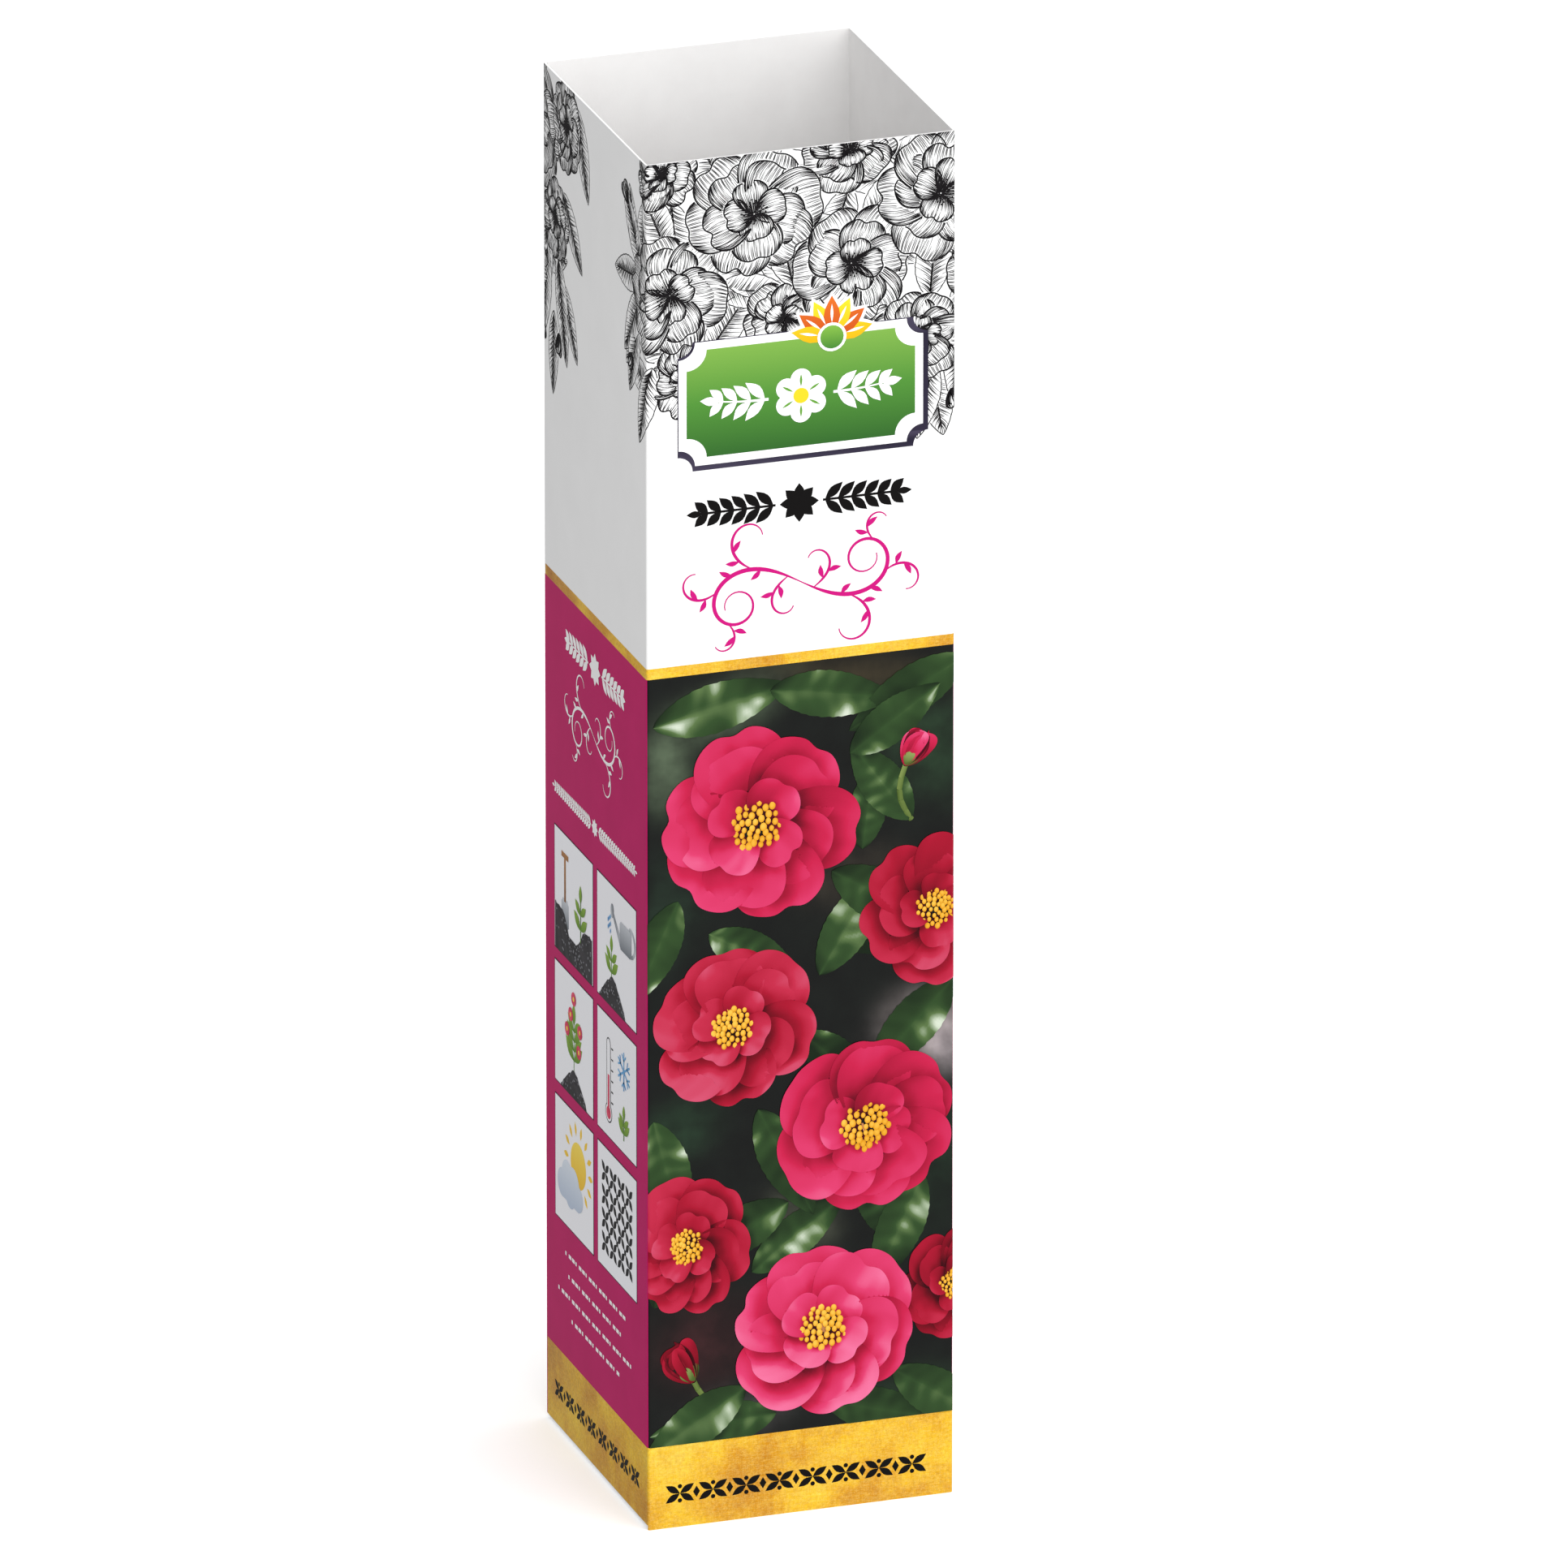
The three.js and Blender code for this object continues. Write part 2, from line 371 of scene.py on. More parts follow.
def makeSleeve():
    bm = bmesh.new()
    glueFoot, glueTop = carton["glueFoot"], carton["height"] - carton["glueTop"]
    levels = [0, carton["footBack"], carton["footSide"], glueFoot, carton["baseBand"], carton["lineLow"],
              carton["lineHigh"], glueTop, carton["height"]]
    chain = [bm.verts.new((-half, carton["rawEdge"], level)) for level in levels]
    rim = [bm.edges.new(pair) for pair in zip(chain, chain[1:])]

    def stretch(edges, x, y):
        made = bmesh.ops.extrude_edge_only(bm, edges=edges)["geom"]
        bmesh.ops.translate(bm, verts=[e for e in made if isinstance(e, bmesh.types.BMVert)], vec=(x, y, 0))
        return [e for e in made if isinstance(e, bmesh.types.BMEdge) and e.is_boundary
                and all(v in made for v in e.verts)]

    def turn(edges, x, y, steps):
        geom = edges + list({v for e in edges for v in e.verts})
        made = bmesh.ops.spin(bm, geom=geom, cent=(x, y, 0), axis=up, dvec=(0, 0, 0), steps=steps,
                              angle=math.radians(15 * steps), use_duplicate=False)["geom_last"]
        return [e for e in made if isinstance(e, bmesh.types.BMEdge)]

    steps, seam = carton["foldSteps"], -carton["seamCentre"]
    for run, corner in (((0, -straight - carton["rawEdge"]), (-straight, -straight)),
                        ((2 * straight, 0), (straight, -straight)),
                        ((0, 2 * straight), (straight, straight))):
        rim = turn(stretch(rim, *run), *corner, steps)
    rim = turn(stretch(rim, seam - straight, 0), seam, straight, steps // 2)
    rim = [e for e in rim if all(glueFoot - 0.1 < v.co.z < glueTop + 0.1 for v in e.verts)]
    rim = stretch(turn(rim, seam, straight, steps // 2), 0, -carton["glueFlap"] + 0.3)
    for vert in {v for e in rim for v in e.verts}:
        if vert.co.z < glueFoot + 0.1:
            vert.co.z += carton["glueTaper"]
        if vert.co.z > glueTop - 0.1:
            vert.co.z -= carton["glueTaper"]
    dropFaces(bm, [f for f in bm.faces if belowFoot(f.calc_center_median())])
    bmesh.ops.delete(bm, geom=[v for v in bm.verts if not v.link_faces], context="VERTS")
    thicken(bm, lambda face: face.normal.dot(face.calc_center_median() * Vector((1, 1, 0))))
    looks = ("white", "magenta", "inside", "core")
    for face in bm.faces:
        middle = face.calc_center_median()
        out = max(abs(middle.x), abs(middle.y)) > half - 0.45
        facing = face.normal.dot(Vector((middle.x, middle.y, 0)))
        look = "white"
        if abs(face.normal.z) > 0.5 or abs(facing) < 5:
            look = "core"
        elif facing < 0 or not out:
            look = "inside"
        elif abs(middle.x) > abs(middle.y) and middle.z < carton["lineLow"]:
            look = "magenta"
        face.material_index = looks.index(look)
    smoothFaces(bm)
    sleeve = pieceFrom("carton_sleeve", bm, [finishes[look] for look in looks])
    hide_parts("front_panel", "right_panel", "back_panel", "left_panel", "glue_flap")


makeSleeve()

flaps = {
    "crease": 0.5,  # radius of a flap's crease, to the middle of the board
    "across": 16,  # cells of a flap's grid
    "along": 26,
    "creaseSteps": 6,
    "dustLength": 45,
    "dustFront": (-46.5, 8.5),  # each edge of the dust flaps at the fold, and its taper
    "dustBack": (48.2, 6),
    "dustCorner": 5,
    "bottomHalf": 48.9,
    "bottomLength": 97.6,
    "bottomCorner": 0.6,
    "tuckHalf": 47,
    "tuckHeight": 14.6,
    "tuckLean": 5,  # degrees inwards
    "tuckCorner": 9,
}


# A flap lies along +x from its crease with its inside up; the crease curls up behind it to meet its wall.
# Each edge is given as (place, taper).
def makeFlap(name, node, bodies, length, corner, edges, place, hinge, curl=90):
    bm = bmesh.new()
    along, creaseSteps, radius = flaps["along"], flaps["creaseSteps"], flaps["crease"]
    outer = radius + carton["board"] / 2
    (lowEdge, lowTaper), (highEdge, highTaper) = edges
    for index, vert in enumerate(newGrid(bm, along, flaps["across"])):
        column, share = index % (along + 1), index // (along + 1) / flaps["across"]
        turn = math.radians(curl) * max(0, creaseSteps - column) / creaseSteps
        reach = math.sin(max(0, column - creaseSteps) / (along - creaseSteps) * math.pi / 2) * length
        over = max(0, reach - length + corner)
        rounding = corner - math.sqrt(max(0, corner ** 2 - over ** 2))
        low = lowEdge + lowTaper * reach / length + rounding
        high = highEdge - highTaper * reach / length - rounding
        vert.co = (reach - outer * math.sin(turn), low + (high - low) * share,
                   radius - outer * math.cos(turn))
    thicken(bm, lambda face: -face.normal.z)
    for face in bm.faces:  # white outside, plain inside, cut edge
        middle = face.calc_center_median()
        away = Vector((middle.x, 0, middle.z - radius)) if middle.x < 0 else -up
        out = face.normal.dot(away.normalized())
        face.material_index = 0 if out > 0.6 else 1 if out < -0.6 else 2
    smoothFaces(bm)
    bmesh.ops.transform(bm, matrix=place, verts=bm.verts)
    looks = [finishes[look] for look in ("white", "inside", "core")]
    flap = pieceFrom(name, bm, looks, None)
    start, end = [Vector(point) * mm for point in hinge]
    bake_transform(flap, bodies[0], bodies[1], start=start, end=end)
    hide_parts(node)


def makeFlaps():
    crease = flaps["crease"]
    wall = half - carton["board"] / 2  # middle of the walls' board
    dustLevel, bottomLevel = carton["footSide"] - crease, carton["footBack"] - crease
    front, back = flaps["dustFront"], flaps["dustBack"]
    for side, sign, turn, low, high in (("left", 1, 0, front, back), ("right", -1, math.pi, back, front)):
        place = Matrix.Translation((-sign * (wall - crease), 0, dustLevel)) @ Matrix.Rotation(turn, 4, "Z")
        makeFlap(f"{side}_dust_flap", f"dust_flap_{side}", ("sleeve", f"dust_{side}"), flaps["dustLength"],
                 flaps["dustCorner"], ((sign * low[0], low[1]), (sign * high[0], high[1])), place,
                 ((-sign * wall, 0, carton["footSide"]), (-sign * (wall - crease), 0, dustLevel)))
    place = Matrix.Translation((0, wall - crease, bottomLevel)) @ Matrix.Rotation(-math.pi / 2, 4, "Z")
    makeFlap("bottom_closure", "bottom_flap", ("sleeve", "closure"), flaps["bottomLength"],
             flaps["bottomCorner"], ((-flaps["bottomHalf"], 0), (flaps["bottomHalf"], 0)), place,
             ((0, wall, carton["footBack"]), (0, wall - crease, bottomLevel)))
    lean = math.radians(flaps["tuckLean"])
    bend = Vector((0, wall - crease - flaps["bottomLength"], bottomLevel + crease))  # the tuck's crease
    inwards = Vector((0, math.cos(lean), -math.sin(lean)))
    place = Matrix.Translation(bend - inwards * crease) @ Matrix((
        (0, 1, 0, 0), (math.sin(lean), 0, math.cos(lean), 0), (math.cos(lean), 0, -math.sin(lean), 0),
        (0, 0, 0, 1)))
    makeFlap("tuck_in_flap", "tuck_flap", ("closure", "tuck"), flaps["tuckHeight"], flaps["tuckCorner"],
             ((-flaps["tuckHalf"], 0), (flaps["tuckHalf"], 0)), place,
             (bend - up * crease, bend - Vector((0, crease, 0))), 90 + flaps["tuckLean"])


makeFlaps()


def makeGold(name, levels):  # a band of gold print round the carton
    bm = newPrint()
    for index, vert in enumerate(newGrid(bm, 1, len(levels) - 1)):
        vert.co = ((carton["printStart"], carton["printEnd"])[index % 2], levels[index // 2], 0.02)
    scoreFolds(bm)
    uv = bm.loops.layers.uv["OFBake"]
    low, high = levels[0], levels[-1]
    for face in bm.faces:  # one row of the map for each wall
        side = math.floor(face.calc_center_median().x / carton["width"])
        for loop in face.loops:
            across = loop.vert.co.x / carton["width"] - side
            rise = (loop.vert.co.y - low) / (high - low)
            loop[uv].uv = (0.01 + 0.98 * across, (side + 1.05 + 0.9 * rise) / 4)
    dropFaces(bm, [f for f in bm.faces if belowFoot(onCarton(*f.calc_center_median()))])
    foldOntoCarton(bm)
    pieceFrom(name, bm, [finishes["gold"]])


makeGold("gold_base", (0, carton["footBack"], carton["footSide"], carton["baseBand"]))
makeGold("gold_line", (carton["lineLow"], carton["lineHigh"]))

picture = {
    "low": carton["baseBand"],
    "high": carton["lineLow"],
    "lift": 0.02,
    "groundCell": 2,
    "ground": (9, 13, 10),
    # middle, reach and slant of each soft patch behind the plants, with its colour and strength
    "patches": [
        ((22, 268), (24, 9), 20, (92, 108, 84), 0.55), ((70, 276), (30, 6), -8, (70, 60, 40), 0.5),
        ((92, 250), (14, 18), 30, (34, 58, 36), 0.8), ((8, 206), (12, 20), -20, (24, 40, 28), 0.9),
        ((66, 210), (16, 9), 10, (66, 58, 48), 0.5), ((90, 156), (13, 12), 0, (172, 160, 158), 0.62),
        ((97, 150), (6, 9), 15, (205, 192, 196), 0.5), ((10, 132), (14, 10), 30, (30, 52, 34), 0.9),
        ((92, 112), (12, 24), -10, (20, 38, 24), 0.9), ((20, 60), (18, 14), 10, (58, 24, 28), 0.7),
        ((30, 36), (16, 8), 0, (88, 84, 82), 0.45), ((84, 34), (16, 9), 12, (32, 54, 34), 0.8),
        ((50, 98), (12, 7), -30, (120, 124, 104), 0.35), ((6, 250), (8, 12), 0, (120, 140, 110), 0.4)],
}


def softGround(u, height):
    base = Vector(colour(*picture["ground"])[:3])
    for (x, y), (wide, tall), slant, tint, strength in picture["patches"]:
        cos, sin = math.cos(math.radians(slant)), math.sin(math.radians(slant))
        dx, dy = u - x, height - y
        along, over = dx * cos + dy * sin, dy * cos - dx * sin
        weight = strength * math.exp(-((along / wide) ** 2 + (over / tall) ** 2) ** 1.4)
        base = base.lerp(Vector(colour(*tint)[:3]), weight)
    return (*base, 1)


def pictureGroundMaterial():
    material, tree, shader = newMaterial("pictureGround", 0.36)
    soft = addNode(tree, "ShaderNodeVertexColor", layer_name="ground").outputs["Color"]
    blur = noise(tree, sheetPlace(tree), 9, 3, 0.5, (1, 2.5, 1))
    shade = ramp(tree, blur, [(0.35, grey(0.45)), (0.65, grey(1))])
    feed(shader, {"Base Color": mix(tree, 1.0, soft, shade, "MULTIPLY")})
    return material


def makePictureGround():
    bm = newPrint()
    wide, tall = carton["width"], picture["high"] - picture["low"]
    columns, rows = round(wide / picture["groundCell"]), round(tall / picture["groundCell"])
    newGrid(bm, columns, rows, 0.5)
    uv, tint = bm.loops.layers.uv["OFBake"], bm.verts.layers.float_color.new("ground")
    for vert in bm.verts:
        vert.co = ((vert.co.x + 0.5) * wide, picture["low"] + (vert.co.y + 0.5) * tall, picture["lift"])
        vert[tint] = softGround(vert.co.x, vert.co.y)
    scoreFolds(bm)
    for face in bm.faces:
        for loop in face.loops:
            spot = loop.vert.co
            loop[uv].uv = (0.01 + 0.98 * spot.x / wide, 0.01 + 0.98 * (spot.y - picture["low"]) / tall)
    printTwice("picture_ground", bm, pictureGroundMaterial())


makePictureGround()


# Sheets of print: everything on one is laid down in its own inks
def newSheet(inks):
    return {"bm": newPrint(), "inks": inks, "laid": 0}


def printSheet(name, sheet, inkName, roughness=0.4):
    printTwice(name, sheet["bm"], inkMaterial(inkName, sheet["inks"], roughness))


def newRing(sheet, segments):
    return bmesh.ops.create_circle(sheet["bm"], cap_ends=True, segments=segments, radius=1)["verts"]


def facesOf(verts):
    return {face for vert in verts for face in vert.link_faces}


def inkPlace(tone, row, within, inks):  # where a shade of an ink stands in the piece's own map
    return (0.02 + 0.96 * tone, (row + within) / len(inks))


def ray(turn):
    return Vector((math.cos(turn), math.sin(turn)))


# Petals and leaves grow curved in front of the sheet, and are pressed flat onto it later. A form is a
# square of across and along from -1 to 1, bent to shape; its root is at the origin and it lies along +x.
goldenTurn = 2.39996
plants = {
    "petalGrid": (12, 16),
    "bigPetalGrid": (20, 22),
    "leafGrid": (14, 44),
    "petalFoot": 0.62,  # a petal's width at its foot, and how much wider it gets
    "petalSpread": 0.5,
    "petalRoll": 0.16,
    "leafRise": 8,  # degrees
    "leafBend": -26,
    "leafKeel": 0.22,
    "leafRoll": 0.35,
    "veins": 6.5,
    "veinLean": 0.55,
}


def arc(form, reach):  # how far out and how far up a bent form has come
    first, last = form["rise"], form["rise"] + form["bend"] * reach
    return (form["length"] * (math.sin(last) - math.sin(first)) / form["bend"],
            form["length"] * (math.cos(first) - math.cos(last)) / form["bend"])


def petalPoint(form, across, along):
    x = across * math.sqrt(1 - along * along / 2)
    reach = (along * math.sqrt(1 - across * across / 2) + 1) / 2
    reach -= form["notch"] * math.exp(-(x / 0.2) ** 2) * reach ** 3
    run, rise = arc(form, reach)
    wide = x * form["width"] / 2 * (plants["petalFoot"] + plants["petalSpread"] * reach)
    phase = form["phase"]
    frill = form["ruffle"] * math.sin(3.2 * x + phase) * math.cos(2.4 * x - 2 * phase + 3 * reach)
    rise += (form["cup"] * x * x + frill * reach * reach * (0.35 + 0.65 * abs(x))
             + form["crease"] * abs(x) * (1 - reach))
    return form["place"] @ Vector((run + form["start"], wide, rise + form["roll"] * wide))


def veinWave(reach, across):
    return math.cos(2 * math.pi * (reach * plants["veins"] - plants["veinLean"] * abs(across)))


def leafPoint(form, across, along):
    reach = (along + 1) / 2
    wide = 0
    if 0 < reach < 1:
        teeth = 1 + 0.05 * ((reach * form["teeth"]) % 1) * abs(across) ** 3
        wide = form["width"] / 2 * math.sin(math.pi * reach ** 0.85) ** 0.8 * across * teeth
    run, rise = arc(form, reach)
    swell = 0.25 * veinWave(reach, across) * math.sin(math.pi * reach)
    wave = form["wave"] * math.sin(2 * math.pi * reach * 1.5 + form["phase"]) * across * across
    lift = rise + plants["leafKeel"] * abs(wide) + form["roll"] * wide + swell + wave
    return form["place"] @ Vector((run, wide, lift))


def turned(degrees, axis="Z"):
    return Matrix.Rotation(math.radians(degrees), 4, axis)


def facing(x, y, depth, tilt, towards, turn=0):  # a place tilted away from the viewer towards an angle
    return Matrix.Translation((x, y, depth)) @ turned(towards) @ turned(tilt, "Y") @ turned(turn - towards)


# Petals of one blossom, outermost first, in whorls of (count, length, width, rise, bend, start) for a
# radius of 1.
def blossomForms(whorls, radius, place, ink, chance, notch=0.06, ruffle=0.05):
    forms, vary = [], chance.uniform
    for number, (count, length, width, rise, bend, start) in enumerate(whorls):
        first = vary(0, 360)
        whorl = place @ Matrix.Translation((0, 0, 0.03 * radius * number))
        for petal in range(count):
            azimuth = first + 360 / count * petal + vary(-6, 6)
            forms.append({
                "point": petalPoint, "ink": ink, "length": length * radius * vary(0.93, 1.05),
                "width": width * radius * vary(0.94, 1.06), "rise": math.radians(rise + vary(-2.5, 2.5)),
                "bend": math.radians(bend + vary(-8, 8)) or 0.01, "cup": 0.10 * radius * vary(0.3, 1.3),
                "ruffle": ruffle * radius * vary(0.5, 1.4), "notch": notch * vary(0.2, 1.5),
                "phase": vary(0, 6.3), "roll": plants["petalRoll"] + vary(-0.03, 0.03),
                "crease": 0.04 * radius, "start": start * radius,
                "place": whorl @ turned(azimuth)})
    return forms


def leafForm(x, y, angle, length, width, depth, chance, ink="leaf"):
    return {"point": leafPoint, "ink": ink, "length": length, "width": width,
            "rise": math.radians(plants["leafRise"]), "bend": math.radians(plants["leafBend"]),
            "teeth": round(length * 0.75), "wave": 0.05 * length, "phase": chance.uniform(0, 6.3),
            "roll": chance.uniform(-plants["leafRoll"], plants["leafRoll"]),
            "place": Matrix.Translation((x, y, depth)) @ turned(angle)}


gardenLayers = ("across", "along", "shade", "row", "seen")


def newGarden(inks):
    garden = newSheet(inks)
    for layer in gardenLayers:
        garden["bm"].verts.layers.float.new(layer)
    return garden


def markInk(garden, verts, ink):
    layer, row = garden["bm"].verts.layers.float["row"], list(garden["inks"]).index(ink)
    for vert in verts:
        vert[layer] = row


def growSheet(garden, form, grid):  # the form's own across and along stay on its vertices
    bm = garden["bm"]
    verts = newGrid(bm, *grid)
    across, along = [bm.verts.layers.float[name] for name in ("across", "along")]
    markInk(garden, verts, form["ink"])
    for vert in verts:
        vert[across], vert[along] = vert.co.x, vert.co.y
        vert.co = form["point"](form, vert.co.x, vert.co.y)


# Blossoms, buds and leaves of the picture
bouquet = {
    "seed": 12,
    "thickness": 0.3,  # of everything pressed flat
    "lift": 0.1,
    "dip": 0.06,  # how much lower the hidden parts lie
    "inks": {
        "rose": stops((0, 34, 2, 10), (0.2, 88, 6, 24), (0.4, 150, 16, 46), (0.6, 188, 30, 70),
                      (0.8, 208, 58, 104), (1, 228, 118, 158)),
        "crimson": stops((0, 24, 0, 5), (0.22, 64, 4, 14), (0.45, 120, 8, 28), (0.68, 158, 18, 44),
                         (0.86, 182, 40, 68), (1, 204, 90, 120)),
        "filament": stops((0, 120, 60, 34), (0.35, 216, 150, 96), (0.7, 248, 216, 172), (1, 255, 242, 220)),
        "anther": stops((0, 128, 68, 10), (0.5, 216, 150, 32), (1, 240, 202, 88)),
        "leaf": stops((0, 8, 13, 8), (0.25, 22, 36, 20), (0.5, 47, 72, 38), (0.7, 86, 110, 66),
                      (0.87, 152, 168, 140), (1, 214, 222, 206)),
        "sepal": stops((0, 18, 24, 10), (0.5, 74, 94, 40), (1, 150, 166, 96)),
    },
    "whorls": [(6, 1.02, 1.06, 4, 10, 0.02), (5, 0.84, 0.92, 16, -12, 0.02),
               (4, 0.54, 0.60, 38, -30, 0.02)],
    "budWhorls": [(5, 1.5, 1.3, 62, 44, 0.05), (4, 1.3, 1.2, 72, 34, 0.02)],
    "sepals": [(5, 0.7, 0.5, 26, 74, 0.04)],
    "stamens": 46,
    # middle, radius, tilt and its direction, ink and depth
    "blossoms": [
        ((36, 232), 33, 16, 250, "rose", 4), ((92, 195), 25, 22, 20, "crimson", -6),
        ((29, 163), 27, 18, 130, "crimson", 0), ((70, 128), 31, 18, 300, "rose", 5),
        ((15, 93), 23, 26, 180, "crimson", -9), ((57, 59), 30, 14, 80, "rose", 3),
        ((98, 70), 19, 28, 0, "crimson", -10)],
    # foot, size, angle, ink and depth, and where the stalk comes from
    "buds": [((84, 244), 9, 60, "rose", -2, (86, 226)), ((15, 48), 10, 120, "crimson", -4, (25, 40))],
    "stalk": 0.9,
    "stalkSteps": 5,
    "stalkBow": 0.16,
    # foot, angle, length, width and depth
    "leaves": [
        ((2, 266), 12, 46, 16, -14), ((40, 274), -10, 42, 15, -12), ((104, 278), 208, 44, 16, -13),
        ((66, 250), 34, 36, 14, -9), ((60, 212), 328, 42, 16, -8), ((10, 208), 246, 36, 14, -10),
        ((62, 188), 8, 36, 14, -12), ((56, 178), 58, 40, 15, -7), ((50, 160), 316, 36, 14, -9),
        ((100, 172), 226, 42, 16, -11), ((36, 136), 296, 42, 15, -5), ((2, 136), 284, 40, 15, -21),
        ((90, 108), 246, 40, 15, -8), ((46, 104), 206, 38, 15, -10), ((34, 82), 36, 38, 14, -9),
        ((86, 86), 128, 32, 13, -12), ((32, 44), 212, 40, 15, -8), ((42, 34), 184, 42, 15, -12),
        ((80, 44), 326, 40, 15, -9), ((58, 36), 344, 40, 14, -12), ((2, 74), 70, 32, 12, -23),
        ((86, 226), 126, 34, 14, -9), ((70, 218), 82, 30, 12, -12), ((20, 196), 330, 34, 14, -12)],
}
sky = {
    "above": Vector((-0.35, 0.75, 0.56)),
    "gloss": Vector((-0.35, 0.78, 0.52)),
    "rings": (3, 5, 6),
    "reach": 40,
}


def growStalk(garden, foot, tip, thick, thin, ink, sides=5):
    along = Matrix.Translation((foot + tip) / 2) @ (tip - foot).to_track_quat("Z", "Y").to_matrix().to_4x4()
    stalk = bmesh.ops.create_cone(garden["bm"], segments=sides, radius1=thick, radius2=thin,
                                  depth=(tip - foot).length, matrix=along)["verts"]
    markInk(garden, stalk, ink)


def growStamens(garden, place, radius, chance):
    count = bouquet["stamens"]
    for number in range(count):
        ring, turn = 0.145 * math.sqrt((number + 0.5) / count), number * goldenTurn
        outwards = Vector((ring * math.cos(turn), ring * math.sin(turn), 0))
        foot = place @ ((outwards + up * 0.05) * radius)
        tip = place @ ((outwards * 1.8 + up * (0.35 - ring)) * radius)
        growStalk(garden, foot, tip, 0.018 * radius, 0.013 * radius, "filament")
        size = 0.030 * radius * chance.uniform(0.8, 1.2)
        head = bmesh.ops.create_icosphere(garden["bm"], subdivisions=2, radius=size,
                                          matrix=Matrix.Translation(tip) @ Matrix.Diagonal((1, 1.25, 1, 1)))
        markInk(garden, head["verts"], "anther")


def makeDome():  # directions over half a sphere with how bright the sky is there
    dome, rings = [], sky["rings"]
    for ring, count in enumerate(rings):
        lean = math.pi / 2 * (ring + 0.5) / len(rings)
        for step in range(count):
            turn = 2 * math.pi * (step + 0.5 * (ring % 2)) / count
            flat, tall = math.sin(lean), math.cos(lean)
            beam = Vector((flat * math.cos(turn), flat * math.sin(turn), tall))
            dome.append((beam, max(0.05, 0.45 + 0.75 * beam.dot(sky["above"])) * flat / count))
    return dome


def skyLight(tree, dome, spot, normal):  # share of the sky's light that reaches a spot
    start, light, most = spot + normal * 0.35 + up * 0.15, 0, 0
    for beam, glow in dome:
        most += glow * max(0, beam.z)
        lit = normal.dot(beam)
        if lit > 0 and tree.ray_cast(start, beam, sky["reach"])[0] is None:
            light += glow * lit
    return light / most


def plantShade(ink, light, across, along, normal):
    if ink in ("rose", "crimson"):
        streak = 1.7
        fine = 0.035 * math.sin(streak + 9 * across) * math.sin(2.1 * streak + 23 * across)
        return 0.02 + 0.80 * light + fine * (0.5 + 0.5 * along) + 0.05 * along
    if ink != "leaf":
        return 0.15 + 0.8 * light
    mirrored = 2 * normal.z * normal - up
    gloss = max(0, mirrored.dot(sky["gloss"])) ** 7
    midrib = math.exp(-(across / 0.07) ** 2)
    vein = max(0, veinWave((along + 1) / 2, across)) ** 10
    return 0.10 + 0.42 * light + 0.6 * gloss * light + 0.16 * midrib + 0.05 * vein


def pressFlat(garden):
    bm, names = garden["bm"], list(garden["inks"])
    uv = bm.loops.layers.uv["OFBake"]
    across, along, shade, row, seen = [bm.verts.layers.float[name] for name in gardenLayers]
    tree, dome = BVHTree.FromBMesh(bm), makeDome()
    bm.normal_update()
    for vert in bm.verts:
        normal = vert.normal if vert.normal.z > 0 else -vert.normal
        light = skyLight(tree, dome, vert.co, normal)
        tone = plantShade(names[round(vert[row])], light, vert[across], vert[along], normal)
        vert[shade] = min(1, max(0, tone))
        vert[seen] = tree.ray_cast(vert.co + up * 0.03, up, 100)[0] is None
    for passes in range(3):  # soften the shade; hidden points take that of their neighbours
        means = []
        for vert in bm.verts:
            near = [v[shade] for v in (e.other_vert(vert) for e in vert.link_edges) if v[seen]]
            mean = sum(near) / len(near) if near else vert[shade]
            means.append((vert[shade] + mean) / 2 if vert[seen] else mean)
        for vert, mean in zip(bm.verts, means):
            vert[shade] = mean
    dropFaces(bm, [f for f in bm.faces if not any(v[seen] for v in f.verts)])
    for face in bm.faces:
        for loop in face.loops:
            vert = loop.vert
            within = 0.5 + 0.3 * math.sin(0.7 * vert.co.x + 0.9 * vert.co.y)
            loop[uv].uv = inkPlace(vert[shade], vert[row], within, names)
    lowest, highest = min(v.co.z for v in bm.verts), max(v.co.z for v in bm.verts)
    for vert in bm.verts:
        vert.co.z = bouquet["lift"] + bouquet["thickness"] * (vert.co.z - lowest) / (highest - lowest)
        vert.co.z -= 0 if vert[seen] else bouquet["dip"]
    bm.normal_update()
    bmesh.ops.reverse_faces(bm, faces=[f for f in bm.faces if f.normal.z < 0])


